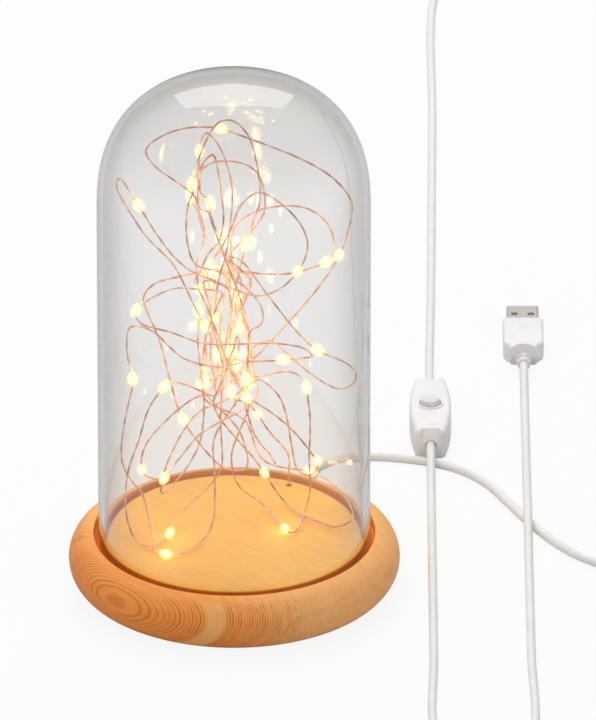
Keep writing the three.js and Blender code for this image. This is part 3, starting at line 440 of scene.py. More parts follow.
@dataclass(frozen=True)
class Softwood(Finish):
    """Oiled softwood in flat layers, which the turned rim cuts as an eye, as arcs and as lines.

    All lengths are in millimetres, and depths are counted across the layers from the first one.

    Attributes:
        heart: the colour near the eye.
        pale: the colour far from it.
        late: the colour of the line that ends each year.
        sap: the colour of the pale band.
        top: the plateau's paler face grain, with the warm light of the drops painted in.
        painted_groove_shade: the colour of the painted shade in the groove.
        across: the direction across the layers.
        eye: how far out that way the first layer lies.
        ring: the thickness of a year's layer.
        first_ring: the depth of the first line.
        band: the depths of the pale band's two sides.
        groove: the groove's two radii.
        drift: how far a whole layer wanders.
        waver: how far a line wanders.
        paling: the depths between which the heart's colour turns pale.
        fading: how far past the band the lines begin and end to fade.
        core: the depths between which the eye's dark middle ends.
        flat_top: the heights between which the side gives way to the flat top.
        crest: the heights between which painted light makes the top of the rim paler.
        painted_crest_light: the depths between which the painted light grows stronger.
        groove_floor: the heights between which the groove's painted shade begins.
        groove_lip: the heights between which it ends.
        band_ends: the places along X between which the band begins.
        gaps: where lines past the band are broken.
        flecks: short pores past the band.
        streaks: long darker streaks.
        strokes: where layers come out of the flat top, along and across them.
        relief: how deep the grain is.
    """

    heart: Colour
    pale: Colour
    late: Colour
    sap: Colour
    top: Colour
    painted_groove_shade: Colour
    across: Point
    eye: float
    ring: float
    first_ring: float
    band: Flat
    groove: Flat
    drift: float = 1.6
    waver: float = 0.22
    paling: Flat = (12.0, 46.0)
    fading: Flat = (6.0, 34.0)
    core: Flat = (0.02, 0.2)
    flat_top: Flat = (19.4, 21.0)
    crest: Flat = (14.0, 22.0)
    painted_crest_light: Flat = (8.0, 30.0)
    groove_floor: Flat = (15.5, 16.5)
    groove_lip: Flat = (20.4, 21.6)
    band_ends: Flat = (-50.0, -40.0)
    gaps: Cloud = Cloud((0.5, 0.5, 0.22), 2.0, (0.34, 0.6))
    flecks: Cloud = Cloud((1.9, 1.9, 0.57), 1.0, (0.66, 0.74))
    streaks: Cloud = Cloud((0.12, 0.12, 0.5), 3.0, (0.45, 0.75))
    strokes: Cloud = Cloud((1 / 22.0, 1 / 1.3, 1 / 8.0), 2.0, (0.5, 0.66))
    relief: float = 0.12

    def draw(self, graph: Graph) -> None:
        """Puts the finish's nodes in an empty tree.

        Args:
            graph: the material's tree.
        """
        place = graph.millimetres()
        x, y, z = graph.split(place)
        radius = (x * x + y * y) ** 0.5
        a, b, c = self.across
        drift = (graph.noise(place, 0.03, 1.0) - 0.5) * self.drift
        waver = (graph.noise(place, 0.4) - 0.5) * self.waver
        depth = self.eye - (x * a + y * b + z * c) + drift
        top = graph.smooth(z, *self.flat_top)

        # Whether a point lies in the pale band or after it.
        start, end = self.band
        band = graph.smooth(depth, start - 0.3, start + 0.2)
        band = band * (1.0 - graph.smooth(depth, end - 0.3, end + 0.15))
        after = graph.smooth(depth, end - 0.2, end + 0.1)
        fade = graph.smooth(depth, end + self.fading[0], end + self.fading[1])

        # The lines grow bolder away from the eye, are half as bold in the band, and break up and
        # fade after it. They are faint on the flat top.
        bold = (0.5 + graph.smooth(depth, 1.5, 6.0) * 0.3) * (1.0 - band * 0.5)
        whole = self.gaps.over(graph, place)
        bold = (bold + after * (0.38 - fade * 0.86)) * (1.0 - after * 0.55 * (1.0 - whole))
        lines = self._rings(graph, depth, waver) * bold * (1.0 - top * 0.66)
        core = (1.0 - graph.smooth(depth + waver, *self.core)) * (1.0 - top)
        pores = self.flecks.over(graph, place) * after
        pores = pores * (0.35 + fade * 0.65) * (1.0 - top * 0.75)

        # The colour between the lines, and then what is drawn on it.
        inner, outer = self.groove
        rim = graph.smooth(radius, inner - 0.3, inner + 0.1)
        body = graph.mix(graph.smooth(depth, *self.paling), self.heart, self.pale)
        band = band * (1.0 - top) * graph.smooth(x, *self.band_ends)
        body = graph.mix(band, body, self.sap)
        body = graph.mix(self.streaks.over(graph, place) * 0.18, body, self.late)
        # The plateau's paler face grain, with the warm light of the drops painted in.
        body = graph.mix(top * (1.0 - rim) * 0.75, body, self.top)
        # Painted light: the top of the rim is paler where the light falls on it.
        crest = 0.35 + graph.smooth(depth, *self.painted_crest_light) * 0.45
        body = graph.mix(graph.smooth(z, *self.crest) * rim * crest, body, self.pale)
        strokes = self._strokes(graph, place) * top
        for mark in (lines, core * 0.36, pores * 0.5, strokes * 0.1):
            body = graph.mix(mark, body, self.late)

        # Painted shade: the groove is darker, apart from its far wall, which stays lit.
        groove = rim * (1.0 - graph.smooth(radius, outer - 0.1, outer + 0.3))
        groove = groove * graph.smooth(z, *self.groove_floor)
        groove = groove * (1.0 - graph.smooth(z, *self.groove_lip))
        lit_far_wall = graph.smooth(radius, outer - 0.9, outer - 0.2)
        body = graph.mix(groove * (1.0 - lit_far_wall * 0.85), body, self.painted_groove_shade)

        grain = graph.noise(graph.stretched(place, (1.0, 0.25, 1.0)), 2.6, 3.0)
        height = grain * 0.35 - lines * 0.5 - pores * 0.7
        shader = graph.principled(
            {
                "Base Color": body,
                "Roughness": 0.44 + lines * 0.1 + grain * 0.12,
                "Specular IOR Level": 0.25,
                "Normal": graph.bump(height, 0.35, self.relief),
            }
        )
        graph.surface(shader)

    def _strokes(self, graph: Graph, place: Signal) -> Signal:
        """Long faint strokes where the layers come out of the flat top.

        Args:
            graph: the material's tree.
            place: the place in millimetres.

        Returns:
            1 in a stroke and 0 beside it.
        """
        a, b, _ = self.across
        turned = graph.node(
            "ShaderNodeMapping",
            {"vector_type": "TEXTURE"},
            {"Vector": place, "Rotation": (0.0, 0.0, math.atan2(a, -b))},
        )
        return self.strokes.over(graph, graph.signal(turned))

    def _rings(self, graph: Graph, depth: Signal, waver: Signal) -> Signal:
        """The dark late wood, one line for each year's growth, and not the same each year.

        Args:
            graph: the material's tree.
            depth: how far below the first layer a point lies.
            waver: the unevenness of a line.

        Returns:
            0 in the early wood, and up to 1 at the end of the late wood.
        """
        turn = graph.math("FRACT", (depth - self.first_ring + waver) / self.ring + 20.0)
        late = graph.smooth(turn, 0.4, 0.9) * (1.0 - graph.smooth(turn, 0.92, 1.0))
        late = late * graph.smooth(depth, self.first_ring - 0.5, self.first_ring - 0.25)
        years = graph.node(
            "ShaderNodeTexNoise",
            {"noise_dimensions": "1D"},
            {"W": depth, "Scale": 0.85, "Detail": 1.0},
        )
        return late * (0.45 + graph.smooth(graph.signal(years), 0.3, 0.7) * 0.75)


@dataclass(frozen=True)
class LacqueredCopper(Finish):
    """Thin copper wire under a rose lacquer that has worn in places."""

    bright: Colour
    dull: Colour
    wear: Cloud = Cloud((0.12, 0.12, 0.12), 3.0, (0.38, 0.66))

    def draw(self, graph: Graph) -> None:
        """Puts the finish's nodes in an empty tree.

        Args:
            graph: the material's tree.
        """
        worn = self.wear.over(graph, graph.millimetres())
        shader = graph.principled(
            {
                "Base Color": graph.mix(worn, self.bright, self.dull),
                "Metallic": 0.45 - worn * 0.2,
                "Roughness": 0.26 + worn * 0.2,
                "Coat Weight": 0.3,
                "Coat Roughness": 0.15,
            }
        )
        graph.surface(shader)


@dataclass(frozen=True)
class GlowingChip(Finish):
    """The lit chip in the middle of a drop: white-hot, and yellow at its edge."""

    core: Colour
    edge: Colour
    strength: float
    turned: Flat = (0.2, 0.8)

    def draw(self, graph: Graph) -> None:
        """Puts the finish's nodes in an empty tree.

        Args:
            graph: the material's tree.
        """
        edge = graph.smooth(graph.facing(), *self.turned)
        shader = graph.principled(
            {
                "Base Color": self.edge,
                "Roughness": 0.2,
                "Emission Color": graph.mix(edge, self.core, self.edge),
                "Emission Strength": self.strength,
            }
        )
        graph.surface(shader)


@dataclass(frozen=True)
class LitResin(Finish):
    """The clear resin round a chip, full of its light, with a painted reflection in the glass.

    Attributes:
        near: the light in its middle.
        far: the light at its edge.
        strength: how bright it is.
        painted_glint: how bright its painted reflection is in the glass.
        upright: the heights between which its painted reflections begin to show, in millimetres.
        turned: how far it is turned away where its middle ends and its edge begins.
        thinning: how fast it clears towards its edge.
        painted_glint_thinning: how fast its painted reflection clears towards its edge.
        fullest: how much its middle covers.
    """

    near: Colour
    far: Colour
    strength: float
    painted_glint: float
    upright: Flat
    turned: Flat = (0.05, 0.8)
    thinning: float = 5.0
    painted_glint_thinning: float = 3.0
    fullest: float = 0.95

    def draw(self, graph: Graph) -> None:
        """Puts the finish's nodes in an empty tree.

        Args:
            graph: the material's tree.
        """
        facing = graph.facing()
        edge = graph.smooth(facing, *self.turned)
        thick = 1.0 - facing
        # Painted light: the resin glows by itself, for the chip's light scattered in it.
        shader = graph.principled(
            {
                "Base Color": self.far,
                "Roughness": 0.1,
                "Emission Color": graph.mix(edge, self.near, self.far),
                "Emission Strength": self.strength,
                "Alpha": thick**self.thinning * self.fullest,
            }
        )
        # Painted reflection: what the glass throws back sees the drop far brighter than it glows.
        _, _, z = graph.split(graph.millimetres())
        share = thick**self.painted_glint_thinning * graph.smooth(z, *self.upright)
        clear = graph.node("ShaderNodeBsdfTransparent", None, {"Color": WHITE})
        painted_glint = graph.mix_shader(share, clear, graph.emission(self.near, self.painted_glint))
        graph.surface(graph.mix_shader(graph.mirrored(), shader, painted_glint))


@dataclass(frozen=True)
class Moulded(Finish):
    """Moulded plastic or rubber with a fine spark-eroded grain and slight clouding.

    Attributes:
        colour: its colour.
        shade: its colour where it is clouded.
        roughness: how dull it is.
        grain: how fine its grain is, per millimetre.
        depth: how deep its grain is, in millimetres.
        clouding: where it is clouded.
    """

    colour: Colour
    shade: Colour
    roughness: float
    grain: float
    depth: float
    clouding: Cloud = Cloud((0.11, 0.11, 0.11), 3.0, (0.3, 0.75))

    def draw(self, graph: Graph) -> None:
        """Puts the finish's nodes in an empty tree.

        Args:
            graph: the material's tree.
        """
        place = graph.millimetres()
        grain = graph.noise(place, self.grain)
        cloud = self.clouding.over(graph, place)
        shader = graph.principled(
            {
                "Base Color": graph.mix(cloud, self.colour, self.shade),
                "Roughness": self.roughness + (grain - 0.5) * 0.16,
                "Normal": graph.bump(grain, 0.4, self.depth),
            }
        )
        graph.surface(shader)


@dataclass(frozen=True)
class Plated(Finish):
    """Plated metal with a slight tarnish and fine draw marks along the frame's Y axis."""

    colour: Colour
    roughness: float
    tarnish: Colour = srgb(150, 146, 140)
    marks: Point = (9.0, 0.5, 9.0)
    mark_depth: float = 0.02

    def draw(self, graph: Graph) -> None:
        """Puts the finish's nodes in an empty tree.

        Args:
            graph: the material's tree.
        """
        place = graph.millimetres()
        marks = graph.noise(graph.stretched(place, self.marks), 1.0)
        haze = graph.noise(place, 0.5)
        dull = graph.smooth(haze, 0.5, 0.9) * 0.25
        shader = graph.principled(
            {
                "Base Color": graph.mix(dull, self.colour, self.tarnish),
                "Metallic": 1.0,
                "Roughness": self.roughness + marks * 0.1 + haze * 0.06,
                "Normal": graph.bump(marks, 0.15, self.mark_depth),
            }
        )
        graph.surface(shader)


@dataclass(frozen=True)
class Pressboard(Finish):
    """Hardboard pressed from brown fibres."""

    pale: Colour
    dark: Colour
    fibres: Point = (1.6, 0.5, 1.0)
    fibre_depth: float = 0.1

    def draw(self, graph: Graph) -> None:
        """Puts the finish's nodes in an empty tree.

        Args:
            graph: the material's tree.
        """
        place = graph.stretched(graph.millimetres(), self.fibres)
        fibres = graph.noise(place, 1.3, 5.0)
        shader = graph.principled(
            {
                "Base Color": graph.mix(graph.smooth(fibres, 0.35, 0.65), self.pale, self.dark),
                "Roughness": 0.7 + fibres * 0.2,
                "Normal": graph.bump(fibres, 0.5, self.fibre_depth),
            }
        )
        graph.surface(shader)


@dataclass(frozen=True)
class BandedCeramic(Finish):
    """A resistor's lacquered body with coloured bands across the frame's Y axis.

    Attributes:
        body: the lacquer's colour.
        bands: the place of each band along Y, in millimetres, and its colour.
        width: the width of a band.
        blur: how far its edge blurs to either side.
    """

    body: Colour
    bands: tuple[tuple[float, Colour], ...]
    width: float
    blur: float = 0.05

    def draw(self, graph: Graph) -> None:
        """Puts the finish's nodes in an empty tree.

        Args:
            graph: the material's tree.
        """
        place = graph.millimetres()
        _, y, _ = graph.split(place)
        half = self.width / 2
        colour: Feed = self.body
        for middle, paint in self.bands:
            away = graph.math("ABSOLUTE", y - middle)
            band = 1.0 - graph.smooth(away, half - self.blur, half + self.blur)
            colour = graph.mix(band, colour, paint)
        shader = graph.principled(
            {"Base Color": colour, "Roughness": 0.35 + graph.noise(place, 3.0) * 0.1}
        )
        graph.surface(shader)


GLASS = ClearGlass(
    "dome_glass",
    tint=(0.985, 0.982, 0.978),
    rim=(0.64, 0.62, 0.6),
    painted_edge_shade=(0.3, 0.8),
    crown=(166.0, 192.0),
    painted_crown_shade=0.36,
    index=1.46,
    absorbed=(0.5, 0.5, 0.48),
    density=60.0,
)
WOOD = Softwood(
    "honey_softwood",
    heart=srgb(242, 148, 66),
    pale=srgb(250, 186, 116),
    late=srgb(178, 92, 34),
    sap=srgb(244, 180, 108),
    top=srgb(250, 194, 88),
    painted_groove_shade=srgb(214, 108, 10),
    across=(-0.67, -0.67, 0.31),
    eye=60.9,
    ring=0.73,
    first_ring=1.1,
    band=(10.2, 14.6),
    groove=(46.1, 51.0),
)
COPPER = LacqueredCopper("lacquered_copper", srgb(255, 210, 178), srgb(220, 166, 140))
LED_CHIP = GlowingChip("led_chip", (1.0, 0.97, 0.76), (1.0, 0.72, 0.14), strength=4.0)
LED_RESIN = LitResin(
    "led_resin",
    near=(1.0, 0.86, 0.36),
    far=(1.0, 0.74, 0.24),
    strength=1.25,
    painted_glint=12.0,
    upright=(45.0, 90.0),
)
WHITE_PLASTIC = Moulded(
    "white_moulding",
    srgb(236, 234, 235),
    srgb(228, 227, 229),
    roughness=0.38,
    grain=4.0,
    depth=0.02,
)
GREY_PLASTIC = Moulded(
    "button_moulding",
    srgb(226, 225, 227),
    srgb(216, 215, 218),
    roughness=0.34,
    grain=4.0,
    depth=0.02,
)
DARK_PLASTIC = Moulded(
    "dark_moulding", srgb(46, 46, 48), srgb(36, 36, 38), roughness=0.5, grain=4.0, depth=0.02
)
SOFT_PVC = Moulded(
    "white_sheath",
    srgb(232, 232, 232),
    srgb(228, 228, 228),
    roughness=0.46,
    grain=2.0,
    depth=0.01,
)
WHITE_RUBBER = Moulded(
    "white_rubber",
    srgb(222, 221, 220),
    srgb(210, 209, 208),
    roughness=0.7,
    grain=3.0,
    depth=0.04,
)
DARK_RUBBER = Moulded(
    "foot_rubber", srgb(58, 57, 56), srgb(44, 43, 43), roughness=0.85, grain=3.0, depth=0.06
)
STEEL = Plated("zinc_steel", srgb(190, 192, 196), roughness=0.3)
NICKEL = Plated("bright_nickel", srgb(204, 201, 198), roughness=0.24)
GOLD = Plated("contact_gold", srgb(222, 182, 96), roughness=0.24)
HARDBOARD = Pressboard("hardboard", srgb(128, 92, 62), srgb(92, 62, 40))
RESISTOR = BandedCeramic(
    "resistor_lacquer",
    srgb(214, 190, 148),
    ((-14.6, srgb(120, 62, 30)), (-16.0, srgb(30, 30, 30)), (-17.4, srgb(190, 150, 60))),
    width=0.6,
)


def add_mesh(
    name: str, points: Sequence[Sequence[float]], faces: Sequence[Sequence[int]]
) -> Piece:
    """A mesh object from points in metres of the frame.

    Args:
        name: the piece's name.
        points: its vertices.
        faces: its faces as vertex numbers.

    Returns:
        The new object, linked to the scene.
    """
    mesh = bpy.data.meshes.new(name)
    mesh.from_pydata([tuple(map(float, p)) for p in points], [], [tuple(f) for f in faces])
    mesh.validate()
    mesh.update()
    made = bpy.data.objects.new(name, mesh)
    bpy.context.scene.collection.objects.link(made)
    return made


def shade(piece: Piece, degrees: float) -> None:
    """Shades a piece smooth, and keeps the edges that turn by more than an angle."""
    piece.data.shade_smooth()
    piece.data.set_sharp_from_angle(angle=math.radians(degrees))


def moved(points: Sequence[Sequence[float]], matrix: Matrix) -> list[Vector]:
    """Points in millimetres put through a matrix in millimetres, as metres."""
    return [(matrix @ Vector(p)) * MM for p in points]


def lathe(
    name: str, profile: Sequence[Flat], segments: int, matrix: Matrix = Matrix.Identity(4)
) -> Piece:
    """A turned solid.

    Args:
        name: the piece's name.
        profile: (radius, height) pairs in millimetres, open with both ends on the axis, or closed
            when the last pair repeats the first.
        segments: how many steps a full turn has.
        matrix: where the solid goes, in millimetres.

    Returns:
        The new object.
    """
    closed = profile[0] == profile[-1]
    rows = list(profile[:-1] if closed else profile)
    points: list[Point] = []
    rings: list[Face] = []
    for radius, height in rows:
        if radius == 0:
            rings.append([len(points)] * segments)
            points.append((0.0, 0.0, height))
            continue
        rings.append(list(range(len(points), len(points) + segments)))
        for step in range(segments):
            angle = 2 * math.pi * step / segments
            points.append((radius * math.cos(angle), radius * math.sin(angle), height))
    faces = []
    for low, high in zip(rings, rings[1:] + ([rings[0]] if closed else [])):
        for step in range(segments):
            after = (step + 1) % segments
            face = list(dict.fromkeys((low[step], low[after], high[after], high[step])))
            if len(face) > 2:
                faces.append(face)
    return add_mesh(name, moved(points, matrix), faces)


def arc(radius: float, centre: Flat, first: float, last: float, steps: int) -> list[Flat]:
    """Points on an arc.

    Args:
        radius: its radius.
        centre: its centre.
        first: the direction of its first point, in degrees.
        last: the direction of its last point, in degrees.
        steps: how many steps it has.

    Returns:
        The points, both ends included.
    """
    angles = [math.radians(first + (last - first) * step / steps) for step in range(steps + 1)]
    return [(centre[0] + radius * math.cos(a), centre[1] + radius * math.sin(a)) for a in angles]


def bezier(points: Sequence[Sequence[float]], steps: int) -> np.ndarray:
    """Points on a Bezier curve of any degree.

    Args:
        points: its control points.
        steps: how many steps it has.

    Returns:
        The point at the end of each step, one row a point.
    """
    degree = len(points) - 1
    shares = np.linspace(0, 1, steps + 1)[1:, None]
    total = np.zeros((steps, len(points[0])))
    for index, point in enumerate(points):
        weight = math.comb(degree, index) * shares**index * (1 - shares) ** (degree - index)
        total += weight * np.array(point, float)
    return total


def inset(outline: np.ndarray, distance: float) -> np.ndarray:
    """Moves an outline inwards.

    Args:
        outline: counter-clockwise points.
        distance: how far its edges move.

    Returns:
        The new points, one for each old one.
    """
    before = outline - np.roll(outline, 1, axis=0)
    after = np.roll(outline, -1, axis=0) - outline
    normals = [np.stack([-edge[:, 1], edge[:, 0]], axis=1) for edge in (before, after)]
    normals = [n / np.linalg.norm(n, axis=1, keepdims=True) for n in normals]
    both = normals[0] + normals[1]
    both /= np.linalg.norm(both, axis=1, keepdims=True)
    opening = np.maximum((both * normals[0]).sum(1, keepdims=True), SHARPEST_CORNER)
    return outline + both * distance / opening


def slab(name: str, outline: np.ndarray, levels: Sequence[Flat], matrix: Matrix) -> Piece:
    """A solid stacked from insets of one outline.

    Args:
        name: the piece's name.
        outline: counter-clockwise points in millimetres.
        levels: (inset, height) pairs from the bottom up.
        matrix: where the solid goes, in millimetres.

    Returns:
        The new object.
    """
    count = len(outline)
    points = [(x, y, height) for depth, height in levels for x, y in inset(outline, depth)]
    faces: list[Face] = [list(range(count))[::-1]]
    for level in range(len(levels) - 1):
        for step in range(count):
            after = (step + 1) % count
            low, high = level * count, (level + 1) * count
            faces.append([low + step, low + after, high + after, high + step])
    top = (len(levels) - 1) * count
    faces.append([top + step for step in range(count)])
    return add_mesh(name, moved(points, matrix), faces)


def rounded(low: float, high: float, edge: float, steps: int = 6) -> list[Flat]:
    """The levels of a slab with rounded edges at the bottom and the top.

    Args:
        low: the height of its bottom.
        high: the height of its top.
        edge: the radius of its edges.
        steps: how many steps an edge has.

    Returns:
        (inset, height) pairs from the bottom up.
    """
    turns = [math.radians(90 * step / steps) for step in range(steps + 1)]
    bottom = [(edge * (1 - math.sin(t)), low + edge * (1 - math.cos(t))) for t in turns]
    return bottom + [(depth, high + low - height) for depth, height in reversed(bottom)]


def box(name: str, low: Point, high: Point, matrix: Matrix) -> Piece:
    """A cutter with flat faces between two corners in millimetres."""
    outline = np.array([(low[0], low[1]), (high[0], low[1]), (high[0], high[1]), (low[0], high[1])])
    return slab(name, outline, [(0, low[2]), (0, high[2])], matrix)


def rod(
    name: str, radius: float, low: float, high: float, matrix: Matrix, segments: int = 32
) -> Piece:
    """A round cutter or boss along its own Z axis.

    Args:
        name: the piece's name.
        radius: its radius in millimetres.
        low: the height of its bottom.
        high: the height of its top.
        matrix: where it goes, in millimetres.
        segments: how many sides it has.

    Returns:
        The new object.
    """
    return lathe(name, [(0, low), (radius, low), (radius, high), (0, high)], segments, matrix)


def carve(body: Piece, how: Cut, *tools: Piece) -> None:
    """Joins solids to a body or removes them from it.

    Args:
        body: the solid that stays.
        how: what is done.
        tools: the other solids, which are deleted afterwards.
    """
    for tool in tools:
        modifier = body.modifiers.new("carve", "BOOLEAN")
        modifier.operation = how.value
        modifier.solver = "EXACT"
        modifier.object = tool
        evaluated = body.evaluated_get(bpy.context.evaluated_depsgraph_get())
        result = bpy.data.meshes.new_from_object(evaluated)
        old = body.data
        body.modifiers.clear()
        body.data = result
        result.name = body.name
        bpy.data.meshes.remove(old)
        gone = tool.data
        bpy.data.objects.remove(tool)
        bpy.data.meshes.remove(gone)


def at(x: float, y: float, z: float = 0.0) -> Matrix:
    """A move in millimetres."""
    return Matrix.Translation((x, y, z))


def along_y(x: float, y: float, z: float) -> Matrix:
    """A place in millimetres whose Z axis points along the frame's Y axis."""
    return Matrix.Translation((x, y, z)) @ Matrix.Rotation(-math.pi / 2, 4, "X")


def ring_of(count: int, radius: float, first: float) -> list[Matrix]:
    """Places spread evenly round the frame's Z axis.

    Args:
        count: how many there are.
        radius: how far out they are, in millimetres.
        first: the direction of the first one, in degrees.

    Returns:
        A move to each place.
    """
    angles = [math.radians(first + 360 / count * index) for index in range(count)]
    return [at(radius * math.cos(a), radius * math.sin(a)) for a in angles]


def enrol(piece: Piece, finish: Finish, body: Body, slot: str, *nodes: str) -> Piece:
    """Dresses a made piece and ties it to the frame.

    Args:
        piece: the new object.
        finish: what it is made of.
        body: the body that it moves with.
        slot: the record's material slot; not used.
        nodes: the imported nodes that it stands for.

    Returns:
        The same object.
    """
    piece.data.materials.clear()
    piece.data.materials.append(finish.material())
    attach(piece, body.value)
    if nodes:
        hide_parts(*nodes)
    LOG.info("%s rides on %s", piece.name, body.value)
    return piece


def dress(node: str, finish: Finish, edge: float = 0.0) -> None:
    """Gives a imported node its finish, and eases its edges.

    Args:
        node: the node's name.
        finish: what it is made of.
        edge: the width of the rounded edge in millimetres, or 0.
    """
    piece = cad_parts[node]
    piece.data.materials.clear()
    piece.data.materials.append(finish.material())
    if edge > 0:
        weld = piece.modifiers.new("weld", "WELD")
        weld.merge_threshold = WELD
        bevel = piece.modifiers.new("edges", "BEVEL")
        bevel.width = edge * MM
        bevel.segments = 2
        bevel.limit_method = "ANGLE"
        bevel.angle_limit = math.radians(40)
    LOG.info("%s keeps its packed shape", node)


def route_curve(points: np.ndarray) -> tuple[np.ndarray, np.ndarray]:
    """Bezier handles of the centripetal curve through points.

    Args:
        points: the route, one row a point.

    Returns:
        The handles before and after each point.
    """
    padded = np.vstack([2 * points[0] - points[1], points, 2 * points[-1] - points[-2]])
    gaps = np.sqrt(np.linalg.norm(np.diff(padded, axis=0), axis=1))[:, None]
    before, here, after = padded[:-2], padded[1:-1], padded[2:]
    slopes = (here - before) / gaps[:-1] - (after - before) / (gaps[:-1] + gaps[1:])
    slopes += (after - here) / gaps[1:]
    return here - slopes * gaps[:-1] / 3, here + slopes * gaps[1:] / 3


def sampled(points: np.ndarray, step: float) -> np.ndarray:
    """Points along the smooth curve through a route.

    Args:
        points: the route, one row a point.
        step: how far the points are apart at most, measured straight.

    Returns:
        The points, one row each.
    """
    left, right = route_curve(points)
    out = [points[:1]]
    for index in range(len(points) - 1):
        count = max(1, math.ceil(np.linalg.norm(points[index + 1] - points[index]) / step))
        legs = (points[index], right[index], left[index + 1], points[index + 1])
        out.append(bezier(legs, count))
    return np.vstack(out)


def carried_frames(path: np.ndarray) -> tuple[np.ndarray, np.ndarray]:
    """Directions across a path, carried along it without twisting.

    Args:
        path: one row a point.

    Returns:
        Two directions for each point, square to the path and to each other.
    """
    ahead = np.gradient(path, axis=0)
    ahead /= np.linalg.norm(ahead, axis=1, keepdims=True)
    starts_along_x = abs(ahead[0][0]) >= 0.9
    across = np.array([0.0, 1.0, 0.0] if starts_along_x else [1.0, 0.0, 0.0])
    first = np.zeros_like(path)
    for index, direction in enumerate(ahead):
        across = across - direction * np.dot(across, direction)
        across /= np.linalg.norm(across)
        first[index] = across
    return first, np.cross(ahead, first)


def tube(path: np.ndarray, radius: float, sides: int) -> Shape:
    """A round tube with closed ends.

    Args:
        path: its centre line.
        radius: its radius.
        sides: how many sides it has.

    Returns:
        Its points and faces.
    """
    first, second = carried_frames(path)
    angles = np.linspace(0, 2 * np.pi, sides, endpoint=False)
    rings = [path + radius * (first * math.cos(a) + second * math.sin(a)) for a in angles]
    points = np.stack(rings, axis=1).reshape(-1, 3)
    faces = [list(range(sides))[::-1]]
    for row in range(len(path) - 1):
        for side in range(sides):
            after = (side + 1) % sides
            low, high = row * sides, (row + 1) * sides
            faces.append([low + side, low + after, high + after, high + side])
    last = (len(path) - 1) * sides
    faces.append([last + side for side in range(sides)])
    return points, faces


def joined_mesh(name: str, parts: Sequence[Shape]) -> Piece:
    """One object from several closed shapes.

    Args:
        name: the piece's name.
        parts: the points, in metres, and the faces of each shape.

    Returns:
        The new object.
    """
    points: list[Sequence[float]] = []
    faces: list[Face] = []
    for part_points, part_faces in parts:
        offset = len(points)
        points.extend(part_points)
        faces.extend([[number + offset for number in face] for face in part_faces])
    return add_mesh(name, points, faces)


def packed_line(node: str, start: Point, sides: int) -> tuple[np.ndarray, np.ndarray]:
    """The centre line of a packed tube, read ring by ring from one end.

    Args:
        node: the tube's node.
        start: a point near that end, in millimetres.
        sides: how many vertices each ring has.

    Returns:
        The rings' centres in metres, and their radii.
    """
    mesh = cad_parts[node].data
    where = np.array([v.co for v in mesh.vertices], float)
    keys: dict[tuple[int, ...], int] = {}
    # Vertices at one place count as one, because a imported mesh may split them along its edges.
    cells = np.round(where / WELD).astype(int)
    same = [keys.setdefault(tuple(cell), len(keys)) for cell in cells]
    points = np.zeros((len(keys), 3))
    for vertex, number in enumerate(same):
        points[number] = where[vertex]
    near: list[set[int]] = [set() for _ in keys]
    for edge in mesh.edges:
        a, b = (same[v] for v in edge.vertices)
        near[a].add(b)
        near[b].add(a)
    # The nearest vertices are the first ring, and each next ring is what the last one touches.
    away = np.linalg.norm(points - np.array(start) * MM, axis=1)
    ring = [int(i) for i in np.argsort(away)[:sides]]
    seen = set(ring)
    centres, radii = [], []
    while ring:
        centre = points[ring].mean(axis=0)
        centres.append(centre)
        radii.append(np.linalg.norm(points[ring] - centre, axis=1).mean())
        ring = sorted({n for vertex in ring for n in near[vertex]} - seen)
        seen.update(ring)
    return np.array(centres), np.array(radii)


@dataclass
class GlassDome:
    """The blown dome that stands in the base's groove, with its sizes in millimetres."""

    radius: float = 49.2
    wall: float = 2.2
    foot: float = 17.0
    crown: float = 200.0
    cap: float = 48.0
    fullness: float = 2.5
    rim: float = 0.7
    segments: int = 192
    arc_steps: int = 48
    wall_steps: int = 13
    rim_steps: int = 5

    def top(self, radius: float, rise: float) -> list[Flat]:
        """The section of the blown top, a superellipse.

        Args:
            radius: its radius at the shoulder.
            rise: its height above the shoulder.

        Returns:
            (radius, height) pairs from the crown to the shoulder.
        """
        bend = 2 / self.fullness
        shoulder = self.crown - self.cap
        rows = []
        for angle in np.linspace(0, math.pi / 2, self.arc_steps + 1):
            across, up = math.sin(angle) ** bend, math.cos(angle) ** bend
            rows.append((radius * across, shoulder + rise * up))
        return rows

    def profile(self) -> list[Flat]:
        """The wall's section.

        Returns:
            (radius, height) pairs from the inside of the top round the rim to the outside.
        """
        inner = self.radius - self.wall
        middle = self.foot + self.rim
        rise = np.linspace(self.crown - self.cap, middle, self.wall_steps + 1)[1:-1]
        inside = self.top(inner, self.cap - self.wall)
        outside = self.top(self.radius, self.cap)[::-1]
        rows = inside + [(inner, z) for z in rise]
        rows += arc(self.rim, (inner + self.rim, middle), 180, 270, self.rim_steps)
        rows += arc(self.rim, (self.radius - self.rim, middle), -90, 0, self.rim_steps)
        return rows + [(self.radius, z) for z in rise[::-1]] + outside

    def build(self) -> None:
        """Turns the dome and dresses it."""
        dome = lathe("dome", self.profile(), self.segments)
        shade(dome, degrees=60)
        enrol(dome, GLASS, Body.DOME, "glass", "glass_dome")


